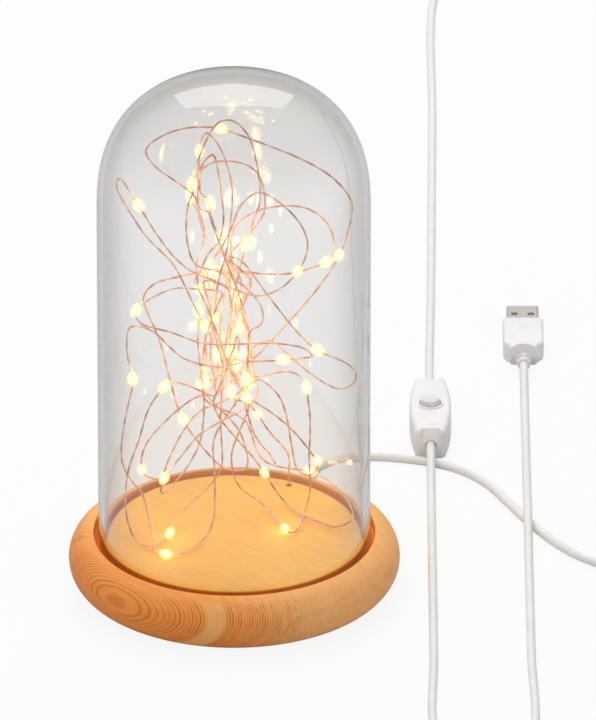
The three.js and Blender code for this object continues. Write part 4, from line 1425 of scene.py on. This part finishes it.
@dataclass
class WoodBase:
    """The turned base with its groove, its bores and the recesses underneath, in millimetres."""

    radius: float = 60.0
    rim: float = 10.5
    bottom: float = 1.0
    groove: Flat = (46.1, 51.0)
    groove_floor: float = 17.0
    plateau: float = 21.2
    edge: float = 0.6
    edge_steps: int = 5
    rim_steps: int = 36
    lip: float = 0.5
    lip_drop: float = 0.62
    lip_steps: int = 4
    corner: float = 0.4
    chamfer: float = 0.3
    pocket: float = 30.0
    pocket_roof: float = 12.0
    cover: float = 35.3
    cover_top: float = 3.6
    feet: int = 4
    foot_circle: float = 42.5
    foot_hole: float = 5.3
    foot_top: float = 2.0
    lead: Flat = (20.0, 8.0)
    lead_bore: float = 3.8
    feed: Flat = (20.0, 37.727)
    feed_bore: float = 1.2
    screws: int = 3
    screw_circle: float = 32.5
    screw_hole: float = 1.3
    screw_tip: float = 10.3
    clip_screw: Flat = (13.95, 14.0)
    clip_tip: float = 14.4
    segments: int = 192

    def profile(self) -> list[Flat]:
        """The base's section.

        Returns:
            (radius, height) pairs from the pocket's roof round the rim to the plateau.
        """
        middle = (self.radius - self.rim, self.bottom + self.rim)
        inner, outer = self.groove
        crest = math.degrees(math.acos((outer - middle[0]) / self.rim))
        rim = arc(self.rim, middle, -90, crest, self.rim_steps)
        lip_middle = (outer + self.lip, rim[-1][1] - self.lip_drop)
        shoulder = (inner - self.edge, self.plateau - self.edge)
        return [
            (0, self.pocket_roof),
            (self.pocket, self.pocket_roof),
            (self.pocket, self.cover_top),
            (self.cover, self.cover_top),
            (self.cover, self.bottom + self.chamfer),
            (self.cover + self.chamfer, self.bottom),
            *rim[:-1],
            *arc(self.lip, lip_middle, 96, 180, self.lip_steps),
            (outer, self.groove_floor + self.corner),
            (outer - self.corner, self.groove_floor),
            (inner + self.corner, self.groove_floor),
            (inner, self.groove_floor + self.corner),
            *arc(self.edge, shoulder, 0, 90, self.edge_steps),
            (0, self.plateau),
        ]

    def bores(self) -> list[Piece]:
        """Makes what is drilled out of the turned body.

        Returns:
            The cutters.
        """
        lead_x, lead_z = self.lead
        over = self.plateau + PAST
        roof, ledge = self.pocket_roof - PAST, self.cover_top - PAST
        clip = at(*self.clip_screw)
        tools = [
            rod("lead_bore", self.lead_bore, 0, self.radius + PAST, along_y(lead_x, 0, lead_z)),
            rod("feed_bore", self.feed_bore, lead_z, over, at(*self.feed)),
            rod("clip_pilot", self.screw_hole, roof, self.clip_tip, clip),
        ]
        for where in ring_of(self.feet, self.foot_circle, first=45):
            tools.append(rod("foot", self.foot_hole, 0, self.foot_top, where, segments=48))
        for where in ring_of(self.screws, self.screw_circle, first=-90):
            tools.append(rod("pilot", self.screw_hole, ledge, self.screw_tip, where))
        return tools

    def build(self) -> None:
        """Turns and drills the base, dresses it, and dresses what is screwed and glued to it."""
        base = lathe("base_turning", self.profile(), self.segments)
        carve(base, Cut.REMOVE, *self.bores())
        shade(base, degrees=40)
        enrol(base, WOOD, Body.BASE, "wood", "wood_base")
        fitted = [(f"foot_pad_{index + 1}", DARK_RUBBER, 0.2) for index in range(self.feet)]
        fitted += [(f"cover_screw_{index + 1}", STEEL, 0.15) for index in range(self.screws)]
        fitted += [
            ("base_cover", HARDBOARD, 0.2),
            ("cord_grommet", WHITE_RUBBER, 0.2),
            ("cord_clip", WHITE_PLASTIC, 0.2),
            ("clip_screw", STEEL, 0.15),
            ("splice_sleeve_1", DARK_PLASTIC, 0.1),
            ("splice_sleeve_2", DARK_PLASTIC, 0.1),
            ("series_resistor", RESISTOR, 0.3),
        ]
        for node, finish, edge in fitted:
            dress(node, finish, edge)


@dataclass
class LightString:
    """One pair of thin wires folded into loops, with a lit resin drop every few centimetres.

    All sizes are in millimetres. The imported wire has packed_sides vertices in each ring, and rings
    wider than packed_drop belong to a drop.
    """

    start: Point = (20.0, 37.727, 22.5)
    strand: float = 0.2
    apart: float = 0.2
    pitch: float = 13.0
    step: float = 1.3
    sides: int = 5
    drop_radius: float = 2.4
    drop_length: float = 7.4
    chip_radius: float = 0.95
    chip_length: float = 3.2
    drop_sides: int = 16
    drop_rings: int = 11
    drop_fullness: float = 0.7
    packed_sides: int = 4
    packed_drop: float = 1.0
    lead_start: Point = (13.0, -19.9, 8.0)

    def strands(self, path: np.ndarray) -> list[Shape]:
        """Twists two wires about each other.

        Args:
            path: the line between them, in metres.

        Returns:
            The points and faces of each wire.
        """
        first, second = carried_frames(path)
        gone = np.concatenate([[0], np.cumsum(np.linalg.norm(np.diff(path, axis=0), axis=1))])
        turn = (2 * np.pi * gone / (self.pitch * MM))[:, None]
        side = first * np.cos(turn) + second * np.sin(turn)
        return [
            tube(path + side * hand * self.apart * MM, self.strand * MM, self.sides)
            for hand in (-1, 1)
        ]

    def spindle(
        self, centre: np.ndarray, ahead: np.ndarray, length: float, radius: float
    ) -> Shape:
        """A body round the wire that thins into it at both ends.

        Args:
            centre: its middle, in metres.
            ahead: the wire's direction there.
            length: its length in millimetres.
            radius: its greatest radius in millimetres.

        Returns:
            Its points and faces.
        """
        shares = np.linspace(0, 1, self.drop_rings + 2)[1:-1]
        path = centre + np.outer((shares - 0.5) * length * MM, ahead)
        points, faces = tube(path, 1.0, self.drop_sides)
        swell = np.sin(np.pi * shares) ** self.drop_fullness * radius * MM
        grown = np.repeat(swell, self.drop_sides)
        rows = np.repeat(path, self.drop_sides, axis=0)
        return rows + (points - rows) * grown[:, None], faces

    def wires(self, name: str, line: np.ndarray, node: str) -> None:
        """Makes and dresses one length of twisted wire.

        Args:
            name: the piece's name.
            line: its course in metres, one row a point.
            node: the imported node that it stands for.
        """
        made = joined_mesh(name, self.strands(sampled(line, self.step * MM)))
        shade(made, degrees=80)
        enrol(made, COPPER, Body.BASE, "copper_wire", node)

    def build(self) -> list[np.ndarray]:
        """Makes the wires and drops.

        Returns:
            The places of the drops.
        """
        centres, radii = packed_line("light_string", self.start, self.packed_sides)
        self.wires("string_wires", centres, "light_string")

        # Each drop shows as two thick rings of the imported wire, one after the other.
        thick = np.flatnonzero(radii > self.packed_drop * MM)
        pairs = [thick[i : i + 2] for i in range(0, len(thick) - 1, 2)]
        places = [centres[pair].mean(axis=0) for pair in pairs]
        ways = [centres[b] - centres[a] for a, b in pairs]
        ways = [way / np.linalg.norm(way) for way in ways]
        layers = (
            ("led_chips", LED_CHIP, self.chip_length, self.chip_radius),
            ("led_drops", LED_RESIN, self.drop_length, self.drop_radius),
        )
        for name, finish, length, radius in layers:
            bodies = [self.spindle(p, w, length, radius) for p, w in zip(places, ways)]
            piece = joined_mesh(name, bodies)
            shade(piece, degrees=80)
            enrol(piece, finish, Body.BASE, "copper_wire")
        feed, _ = packed_line("string_lead", self.lead_start, self.packed_sides)
        self.wires("string_feed", feed, "string_lead")
        LOG.info("%d drops on the string", len(places))
        return places


@dataclass
class InlineSwitch:
    """The two-part switch in the lead, with its push button, and its sizes in millimetres."""

    place: Flat = (71.9, 120.9)
    length: float = 44.4
    width: float = 15.4
    end_width: float = 11.6
    thickness: float = 12.0
    corner: float = 2.6
    corner_steps: int = 8
    side_steps: int = 20
    end_steps: int = 6
    edge: float = 1.6
    wall: float = 1.6
    parting: float = 0.16
    notch_depth: float = 2.2
    notch_width: float = 7.0
    cord_radius: float = 1.6
    cord_hole_depth: float = 3.0
    clearance: float = 0.3
    boss: float = 2.7
    boss_out: float = 11.0
    boss_root: float = 0.6
    boss_gap: float = 0.01
    screw_hole: float = 1.3
    head_hole: float = 2.4
    head_depth: float = 1.3
    pilot_top: float = 9.1
    button: float = 3.8
    button_top: float = 2.9
    button_proud: float = 2.2
    button_edge: float = 0.45
    button_ease: float = 0.15
    button_neck: float = 0.1
    dish: tuple[Flat, ...] = ((0.9, 0.08), (1.8, 0.16))
    dish_depth: float = 0.2
    flange: float = 4.7
    flange_levels: Flat = (8.9, 10.1)
    ring_width: float = 0.8
    ring_height: float = 0.5
    ring_root: float = 0.2
    ring_edge: float = 0.3
    segments: int = 64
    spring: float = 4.4
    spring_wire: float = 0.5
    spring_turns: int = 3
    spring_steps: int = 24
    spring_sides: int = 10
    spring_levels: Flat = (5.25, 8.72)
    travel: float = 1.5

    def outline(self) -> np.ndarray:
        """The barrel outline.

        Returns:
            Its points in millimetres, counter-clockwise.
        """
        end, side, corner = self.length / 2, self.end_width / 2, self.corner
        bulge = self.width - self.end_width + side
        half = [
            ([(side - corner, -end), (side, -end), (side, corner - end)], self.corner_steps),
            ([(side, corner - end), (bulge, 0), (side, end - corner)], self.side_steps),
            ([(side, end - corner), (side, end), (side - corner, end)], self.corner_steps),
            ([(side - corner, end), (corner - side, end)], self.end_steps),
        ]
        right = np.vstack([bezier(points, steps) for points, steps in half])
        return np.vstack([right, -right])

    def cord_holes(self) -> list[Piece]:
        """The holes at both ends that the lead passes.

        Returns:
            The cutters.
        """
        where = along_y(*self.place, self.thickness / 2)
        radius = self.cord_radius + self.clearance
        far, near = self.length / 2 + PAST, self.length / 2 - self.cord_hole_depth
        return [
            rod("cord_hole_in", radius, -far, -near, where),
            rod("cord_hole_out", radius, near, far, where),
        ]

    def bosses(self) -> list[Matrix]:
        """Where the two screws stand."""
        x, y = self.place
        return [at(x, y + hand * self.boss_out) for hand in (-1, 1)]

    def lower(self) -> Piece:
        """Makes the lower shell, with its screw holes.

        Returns:
            The shell.
        """
        middle = self.thickness / 2
        where = at(*self.place)
        levels = [row for row in rounded(0, self.thickness, self.edge) if row[1] < middle]
        levels += [(0, middle - self.parting), (self.parting, middle)]
        shell = slab("switch_lower", self.outline(), levels, where)
        inside = [(self.wall, self.wall), (self.wall, middle + PAST)]
        carve(shell, Cut.REMOVE, slab("cavity", self.outline(), inside, where))
        for boss in self.bosses():
            top = middle - self.boss_gap
            carve(shell, Cut.JOIN, rod("boss", self.boss, self.boss_root, top, boss))
            carve(shell, Cut.REMOVE, rod("screw_way", self.screw_hole, -PAST, middle + PAST, boss))
            carve(shell, Cut.REMOVE, rod("head_way", self.head_hole, -PAST, self.head_depth, boss))
        carve(shell, Cut.REMOVE, *self.cord_holes())
        return shell

    def notches(self) -> list[Piece]:
        """The sloping cuts over the lead at both ends.

        Returns:
            The cutters.
        """
        end, top, half = self.length / 2, self.thickness, self.notch_width / 2
        foot, back = top / 2 + self.cord_radius, end - self.notch_depth
        slope = [(back, top), (end, foot), (end + PAST, foot), (end + PAST, top + PAST)]
        slope.append((back, top + PAST))
        upright = Matrix(((0, 0, 1, 0), (1, 0, 0, 0), (0, 1, 0, 0), (0, 0, 0, 1)))
        far = np.array(slope)
        near = far[::-1] * np.array([-1, 1])
        return [
            slab(name, outline, [(0, -half), (0, half)], at(*self.place) @ upright)
            for name, outline in (("notch_in", near), ("notch_out", far))
        ]

    def upper(self) -> Piece:
        """Makes the upper shell, with the button's hole and ring and the notches over the lead.

        Returns:
            The shell.
        """
        middle, top = self.thickness / 2, self.thickness
        where = at(*self.place)
        levels = [(self.parting, middle), (0, middle + self.parting)]
        levels += [row for row in rounded(0, top, self.edge) if row[1] > middle]
        shell = slab("switch_upper", self.outline(), levels, where)
        roof = top - self.wall
        inside = [(self.wall, middle - PAST), (self.wall, roof)]
        carve(shell, Cut.REMOVE, slab("cavity", self.outline(), inside, where))
        hole = self.button + self.clearance
        rim, crown = hole + self.ring_width, top + self.ring_height
        root, edge = roof + self.ring_root, self.ring_edge
        soft = arc(edge, (rim - edge, crown - edge), 0, 90, 4)
        bead = [(0, root), (rim, root), *soft, (0, crown)]
        carve(shell, Cut.JOIN, lathe("bead", bead, self.segments, where))
        way = rod("button_way", hole, middle, crown + PAST, where, self.segments)
        carve(shell, Cut.REMOVE, way)
        for boss in self.bosses():
            low, high = middle + self.boss_gap, top - self.boss_root
            carve(shell, Cut.JOIN, rod("boss", self.boss, low, high, boss))
            pilot = rod("pilot", self.screw_hole, middle - PAST, self.pilot_top, boss)
            carve(shell, Cut.REMOVE, pilot)
        carve(shell, Cut.REMOVE, *self.cord_holes(), *self.notches())
        return shell

    def push_button(self) -> Piece:
        """Turns the conical button with its flange, a soft edge and a shallow dish.

        Returns:
            The button.
        """
        low, high = self.flange_levels
        top = self.thickness + self.button_proud
        edge_middle = (self.button_top - self.button_ease, top - self.button_edge)
        profile = [
            (0, low),
            (self.flange, low),
            (self.flange, high),
            (self.button, high),
            (self.button, self.thickness + self.ring_height - self.button_neck),
            *arc(self.button_edge, edge_middle, 12, 90, 6),
            *((self.button_top - inwards, top - down) for inwards, down in self.dish),
            (0, top - self.dish_depth),
        ]
        return lathe("push_button", profile, self.segments, at(*self.place))

    def coil(self) -> Piece:
        """Winds the spring under the button, in round wire.

        Returns:
            The spring.
        """
        x, y = self.place
        low, high = self.spring_levels
        half = self.spring_wire / 2
        shares = np.linspace(0, 1, self.spring_steps * self.spring_turns + 1)
        turns = 2 * np.pi * self.spring_turns * shares
        radius = self.spring / 2 - half
        rise = low + half + (high - low - self.spring_wire) * shares
        line = np.stack([x + radius * np.cos(turns), y + radius * np.sin(turns), rise], axis=1)
        return add_mesh("button_coil", *tube(line * MM, half * MM, self.spring_sides))

    def build(self) -> list[Piece]:
        """Makes and dresses the switch.

        Returns:
            The pieces that hang on the lead.
        """
        lower, upper, button, coil = self.lower(), self.upper(), self.push_button(), self.coil()
        for piece in (lower, upper, button, coil):
            shade(piece, degrees=35)
        enrol(lower, WHITE_PLASTIC, Body.BASE, "white_plastic", "switch_lower_shell")
        enrol(upper, WHITE_PLASTIC, Body.BASE, "white_plastic", "switch_upper_shell")
        enrol(button, GREY_PLASTIC, Body.BUTTON, "grey_plastic", "switch_button")
        enrol(coil, STEEL, Body.BASE, "steel", "button_spring")
        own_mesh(coil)
        inner = (
            ("switch_contact_block", DARK_PLASTIC, 0.2),
            ("switch_screw_1", STEEL, 0.15),
            ("switch_screw_2", STEEL, 0.15),
        )
        for node, finish, edge in inner:
            dress(node, finish, edge)
        return [lower, upper, button, coil, *(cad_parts[node] for node, _, _ in inner)]


@dataclass
class LeadPlug:
    """The flat plug at the lead's end: moulded body, slotted relief and plated shell.

    All sizes are in millimetres, apart from grip_margin, which is a share of the edge.
    """

    place: Flat = (107.0, 168.9)
    axis: float = 4.0
    relief_length: float = 6.9
    relief: Flat = (2.5, 3.25)
    relief_core: float = 1.8
    relief_edge: float = 0.4
    segments: int = 48
    slot_width: float = 0.8
    slots: int = 2
    bridge: float = 1.5
    length: float = 25.0
    width: float = 15.1
    thickness: float = 8.0
    tail: float = 9.7
    taper: float = 6.0
    taper_pull: float = 0.6
    edge: float = 1.2
    corner: float = 2.0
    ribs: int = 4
    grip: float = 5.9
    grip_from_shell: float = 4.3
    grip_depth: float = 0.6
    grip_radius: float = 0.5
    grip_margin: float = 0.6
    contacts: int = 4

    def outline(self) -> np.ndarray:
        """The body's outline, from the tail to the shell.

        Returns:
            Its points in millimetres, counter-clockwise.
        """
        side, tail, end = self.width / 2, self.tail / 2, self.length
        bend, last = self.taper / 2, end - self.corner
        flare = [(tail, 0), (tail + self.taper_pull, bend), (side, bend), (side, self.taper)]
        straight = [(side, self.taper), (side, last)]
        round_off = [(side, last), (side, end), (side - self.corner, end)]
        right = np.vstack([bezier(flare, 12), bezier(straight, 16), bezier(round_off, 8)])
        left = right[::-1] * np.array([-1, 1])
        tail_edge = np.array([(-tail, 0), (-tail / 2, 0), (0, 0), (tail / 2, 0), (tail, 0)])
        return np.vstack([tail_edge, right, left])

    def grooves(self) -> list[Piece]:
        """The grip grooves down both sides.

        Returns:
            The cutters.
        """
        x, y = self.place
        last = y + self.relief_length + self.length - self.grip_from_shell
        pitch = self.grip / self.ribs
        out = self.width / 2 - self.grip_depth + self.grip_radius
        margin = self.edge * self.grip_margin
        low, high = margin, self.thickness - margin
        tools = []
        for index in range(self.ribs):
            for hand in (-1, 1):
                where = at(x + hand * out, last - pitch * (index + 0.5))
                tools.append(rod("groove", self.grip_radius, low, high, where, segments=20))
        return tools

    def slot(self, middle: float, across: bool) -> Piece:
        """A slot round the relief, apart from two bridges.

        Args:
            middle: how far it is from the relief's small end.
            across: whether the bridges are at the sides, rather than at the top and bottom.

        Returns:
            The cutter.
        """
        x, y = self.place
        low, high = middle - self.slot_width / 2, middle + self.slot_width / 2
        core, past = self.relief_core, 2 * self.relief[1]
        section = [(core, low), (past, low), (past, high), (core, high), (core, low)]
        ring = lathe("slot", section, self.segments, along_y(x, y, self.axis))
        half = self.bridge / 2
        wide, tall = (2 * past, half) if across else (half, 2 * past)
        near = (x - wide, y + low - PAST, self.axis - tall)
        far = (x + wide, y + high + PAST, self.axis + tall)
        carve(ring, Cut.REMOVE, box("bridge", near, far, Matrix.Identity(4)))
        return ring

    def strain_relief(self) -> Piece:
        """Turns the slotted sleeve over the end of the lead.

        Returns:
            The sleeve.
        """
        (small, large), length, edge = self.relief, self.relief_length, self.relief_edge
        soft = arc(edge, (small - edge, edge), -90, 0, 4)
        profile = [(0, 0), *soft, (large, length), (0, length)]
        where = along_y(*self.place, self.axis)
        sleeve = lathe("plug_relief", profile, self.segments, where)
        pitch = length / (self.slots + 1)
        for index in range(self.slots):
            carve(sleeve, Cut.REMOVE, self.slot(pitch * (index + 1), across=index % 2 == 1))
        return sleeve

    def build(self) -> list[Piece]:
        """Makes and dresses the plug.

        Returns:
            The pieces that hang on the lead.
        """
        x, y = self.place
        levels = rounded(0, self.thickness, self.edge)
        body = slab("plug_moulding", self.outline(), levels, at(x, y + self.relief_length))
        carve(body, Cut.REMOVE, *self.grooves())
        sleeve = self.strain_relief()
        for piece in (body, sleeve):
            shade(piece, degrees=35)
        enrol(body, WHITE_PLASTIC, Body.BASE, "white_plastic", "plug_body")
        enrol(sleeve, WHITE_PLASTIC, Body.BASE, "white_plastic", "plug_strain_relief")
        dress("plug_shell", NICKEL, 0.08)
        dress("plug_tongue", WHITE_PLASTIC, 0.1)
        names = [f"plug_contact_{index + 1}" for index in range(self.contacts)]
        for name in names:
            dress(name, GOLD, 0.05)
        return [body, sleeve, *(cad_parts[n] for n in ("plug_shell", "plug_tongue", *names))]


@dataclass
class Lead:
    """The white lead: from the base to the switch, and from the switch to the plug.

    All sizes are in millimetres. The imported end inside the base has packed_sides vertices in each
    ring, and tail_sides when it is made anew.
    """

    diameter: float = 3.2
    on_table: float = 1.6
    tail_start: Point = (20.0, 57.931, 8.0)
    packed_sides: int = 8
    tail_sides: int = 20
    tail_step: float = 2.0

    def to_switch(self) -> np.ndarray:
        """The route from the base to the switch.

        Returns:
            Its points in millimetres, one row each.
        """
        low = self.on_table
        rise = [(20, 58.231, 8), (20, 62.931, 7.6), (20.8, 70, 4.6), (23.5, 78, 1.9)]
        flat = [
            (29, 86), (36.5, 93), (45, 97.6), (57, 97.4), (71.9, 93.4), (83, 87), (92.5, 76),
            (99.5, 62), (107, 46.5), (117, 29), (127, 17), (136, 11), (147, 10.5), (155, 17),
            (158.5, 28), (159, 60), (158, 200), (157, 380), (156, 490), (150, 515), (135, 532),
            (116, 537.5), (97, 532), (82, 515), (76, 490), (74.5, 380), (73, 240), (71.9, 170.1),
        ]
        end = [(71.9, 158.1, 3.0), (71.9, 146.1, 6), (71.9, 137.1, 6)]
        return np.array(rise + [(x, y, low) for x, y in flat] + end, float)

    def to_plug(self) -> np.ndarray:
        """The route from the switch to the plug.

        Returns:
            Its points in millimetres, one row each.
        """
        low = self.on_table
        start = [(71.9, 104.7, 6), (71.9, 96.7, 6), (71.9, 93, 5.4)]
        start += [(71.9, 84, 3.4), (71.9, 74, 1.8)]
        flat = [
            (71.9, 60), (71.9, 0), (71.9, -60), (71.9, -116), (76.5, -129), (89.4, -134.5),
            (102.4, -129), (107, -116), (107, -60), (107, 0),
        ]
        over = [(107, 22, 1.8), (107, 34, 4), (107, 46.5, 5.4), (107, 59, 4), (107, 71, 1.8)]
        end = [(107, 95, low), (107, 145, low), (107, 157, 2.6), (107, 165.9, 4), (107, 168.6, 4)]
        return np.array(start + [(x, y, low) for x, y in flat] + over + end, float)

    def cord(self, name: str, route: np.ndarray) -> Piece:
        """Lays one smooth stretch of lead.

        Args:
            name: the piece's name.
            route: its points in millimetres, one row each.

        Returns:
            The new curve.
        """
        points = route * MM
        left, right = route_curve(points)
        data = bpy.data.curves.new(name, "CURVE")
        data.dimensions = "3D"
        data.bevel_depth = self.diameter / 2 * MM
        data.bevel_resolution = 5
        data.resolution_u = 14
        data.use_fill_caps = True
        spline = data.splines.new("BEZIER")
        spline.bezier_points.add(len(points) - 1)
        for knot, here, before, after in zip(spline.bezier_points, points, left, right):
            knot.handle_left_type = knot.handle_right_type = "FREE"
            knot.co = here
            knot.handle_left = before
            knot.handle_right = after
        made = bpy.data.objects.new(name, data)
        bpy.context.scene.collection.objects.link(made)
        return made

    def build(self, on_first: list[Piece], on_second: list[Piece]) -> None:
        """Lays the lead.

        Args:
            on_first: the switch's pieces; not used.
            on_second: the plug's pieces; not used.
        """
        first_route, second_route = self.to_switch(), self.to_plug()
        first = self.cord("lead_base_to_switch", first_route)
        second = self.cord("lead_switch_to_plug", second_route)
        enrol(first, SOFT_PVC, Body.BASE, "white_cord", "cord_base_to_switch")
        enrol(second, SOFT_PVC, Body.BASE, "white_cord", "cord_switch_to_plug")
        line, _ = packed_line("lead_tail", self.tail_start, self.packed_sides)
        smooth_line = sampled(line, self.tail_step * MM)
        shape = tube(smooth_line, self.diameter / 2 * MM, self.tail_sides)
        tail = add_mesh("lead_in_base", *shape)
        shade(tail, degrees=50)
        enrol(tail, SOFT_PVC, Body.BASE, "white_cord", "lead_tail")


@dataclass
class Lamp:
    """One soft lamp.

    Attributes:
        name: its name.
        place: where it hangs, in metres.
        aim: the point that it faces.
        size: its width and height.
        power: in watts.
        mirrored: whether the glass shows it.
    """

    name: str
    place: Point
    aim: Point
    size: Flat
    power: float
    mirrored: bool = False

    def build(self) -> None:
        """Hangs the lamp."""
        data = bpy.data.lights.new(self.name, "AREA")
        data.shape = "RECTANGLE"
        data.size, data.size_y = self.size
        data.energy = self.power
        made = bpy.data.objects.new(self.name, data)
        made.location = self.place
        way = Vector(self.aim) - Vector(self.place)
        made.rotation_euler = way.to_track_quat("-Z", "Y").to_euler()
        made.visible_camera = False
        made.visible_transmission = False
        made.visible_glossy = self.mirrored
        bpy.context.scene.collection.objects.link(made)


@dataclass
class Studio:
    """The pale floor, the lamps, the white surroundings and the camera, in metres and degrees."""

    floor_side: float = 8.0
    floor_level: float = -0.0004
    floor_colour: Colour = (0.72, 0.72, 0.72)
    floor_glow: float = 0.9
    floor_mirrored: float = 0.6
    ambient: float = 0.32
    mirrored: float = 0.55
    glow_power: float = 0.0026
    glow_lift: float = 0.004
    glow_radius: float = 0.003
    glow_low: float = 0.03
    glow_low_share: float = 0.5
    glow_colour: Colour = (1.0, 0.7, 0.3)
    elevation: float = 26.7
    distance: float = 6.0
    target: Point = (0.02306, 0.0, 0.0908)
    frame_height: float = 0.25946
    sensor: float = 36.0
    farthest: float = 100.0

    def floor(self) -> None:
        """A white floor that shows white and keeps a soft shadow."""
        half = self.floor_side / 2
        corners = [(-half, -half), (half, -half), (half, half), (-half, half)]
        points = [(x, y, self.floor_level) for x, y in corners]
        floor = add_mesh("studio_floor", points, [(0, 1, 2, 3)])
        material = bpy.data.materials.new("studio_floor")
        material.use_nodes = True
        graph = Graph(material.node_tree)
        paint = graph.node("ShaderNodeBsdfDiffuse", None, {"Color": self.floor_colour})
        seen = graph.ray("Is Camera Ray", "Is Transmission Ray") * self.floor_glow
        shown = graph.mix_shader(seen, paint, graph.emission(WHITE, 1.0))
        dim = graph.emission(WHITE, self.floor_mirrored)
        graph.surface(graph.mix_shader(graph.mirrored(), shown, dim))
        floor.data.materials.append(material)

    def surroundings(self) -> None:
        """A white world for what is seen, and a dimmer one for what it lights."""
        world = bpy.data.worlds.new("studio")
        world.use_nodes = True
        graph = Graph(world.node_tree)
        seen = graph.ray("Is Camera Ray", "Is Transmission Ray")
        glossy = graph.ray("Is Glossy Ray") * self.mirrored
        strength = graph.math("MAXIMUM", graph.math("MAXIMUM", seen, glossy), self.ambient)
        back = graph.node("ShaderNodeBackground", None, {"Color": WHITE, "Strength": strength})
        out = graph.node("ShaderNodeOutputWorld")
        graph.tree.links.new(back.outputs[0], out.inputs["Surface"])
        bpy.context.scene.world = world

    def glow(self, places: Sequence[np.ndarray]) -> None:
        """Puts a small warm lamp at each drop on the string.

        Args:
            places: where the drops are, in metres.
        """
        for index, place in enumerate(places):
            data = bpy.data.lights.new(f"glow_{index}", "POINT")
            share = self.glow_low_share if place[2] < self.glow_low else 1.0
            data.energy = self.glow_power * share
            data.color = self.glow_colour
            data.shadow_soft_size = self.glow_radius
            made = bpy.data.objects.new(data.name, data)
            made.location = place + np.array([0.0, 0.0, self.glow_lift])
            made.visible_camera = False
            made.visible_transmission = False
            made.visible_glossy = False
            bpy.context.scene.collection.objects.link(made)

    def camera(self) -> None:
        """A long lens at the photograph's angle."""
        tilt = math.radians(self.elevation)
        back = Vector((0.0, -math.cos(tilt), math.sin(tilt)))
        data = bpy.data.cameras.new("camera")
        data.sensor_width = self.sensor
        data.lens = self.sensor * self.distance / self.frame_height
        data.clip_end = self.farthest
        made = bpy.data.objects.new("camera", data)
        made.location = Vector(self.target) + back * self.distance
        made.rotation_euler = (-back).to_track_quat("-Z", "Y").to_euler()
        bpy.context.scene.collection.objects.link(made)
        bpy.context.scene.camera = made

    def build(self) -> None:
        """Sets up everything that isn't part of the object."""
        bpy.context.scene.view_settings.view_transform = "Standard"
        self.floor()
        self.surroundings()
        self.camera()
        lamps = [
            Lamp("top", (-0.2, -0.1, 1.7), (0.0, 0.0, 0.0), (1.3, 1.3), 15.5),
            Lamp("key", (-1.0, -1.2, 1.3), (0.0, 0.0, 0.05), (0.9, 0.7), 3.6),
            Lamp("fill", (1.3, -0.9, 0.8), (0.0, 0.0, 0.05), (0.7, 0.9), 2.4),
            Lamp("back", (0.0, 1.15, 0.95), (0.0, 0.0, 0.1), (1.1, 0.8), 5.5),
            Lamp("panel", (0.0, 1.2, 1.0), (0.0, 0.0, 0.1), (0.85, 0.5), 2.6, mirrored=True),
        ]
        for lamp in lamps:
            lamp.build()


def main() -> None:
    """Builds the studio, then each sub-assembly."""
    logging.basicConfig(level=logging.INFO, format="%(name)s: %(message)s")
    studio = Studio()
    studio.build()
    switch = InlineSwitch().build()
    plug = LeadPlug().build()
    Lead().build(switch, plug)
    GlassDome().build()
    WoodBase().build()
    studio.glow(LightString().build())


if __name__ == "__main__":
    main()
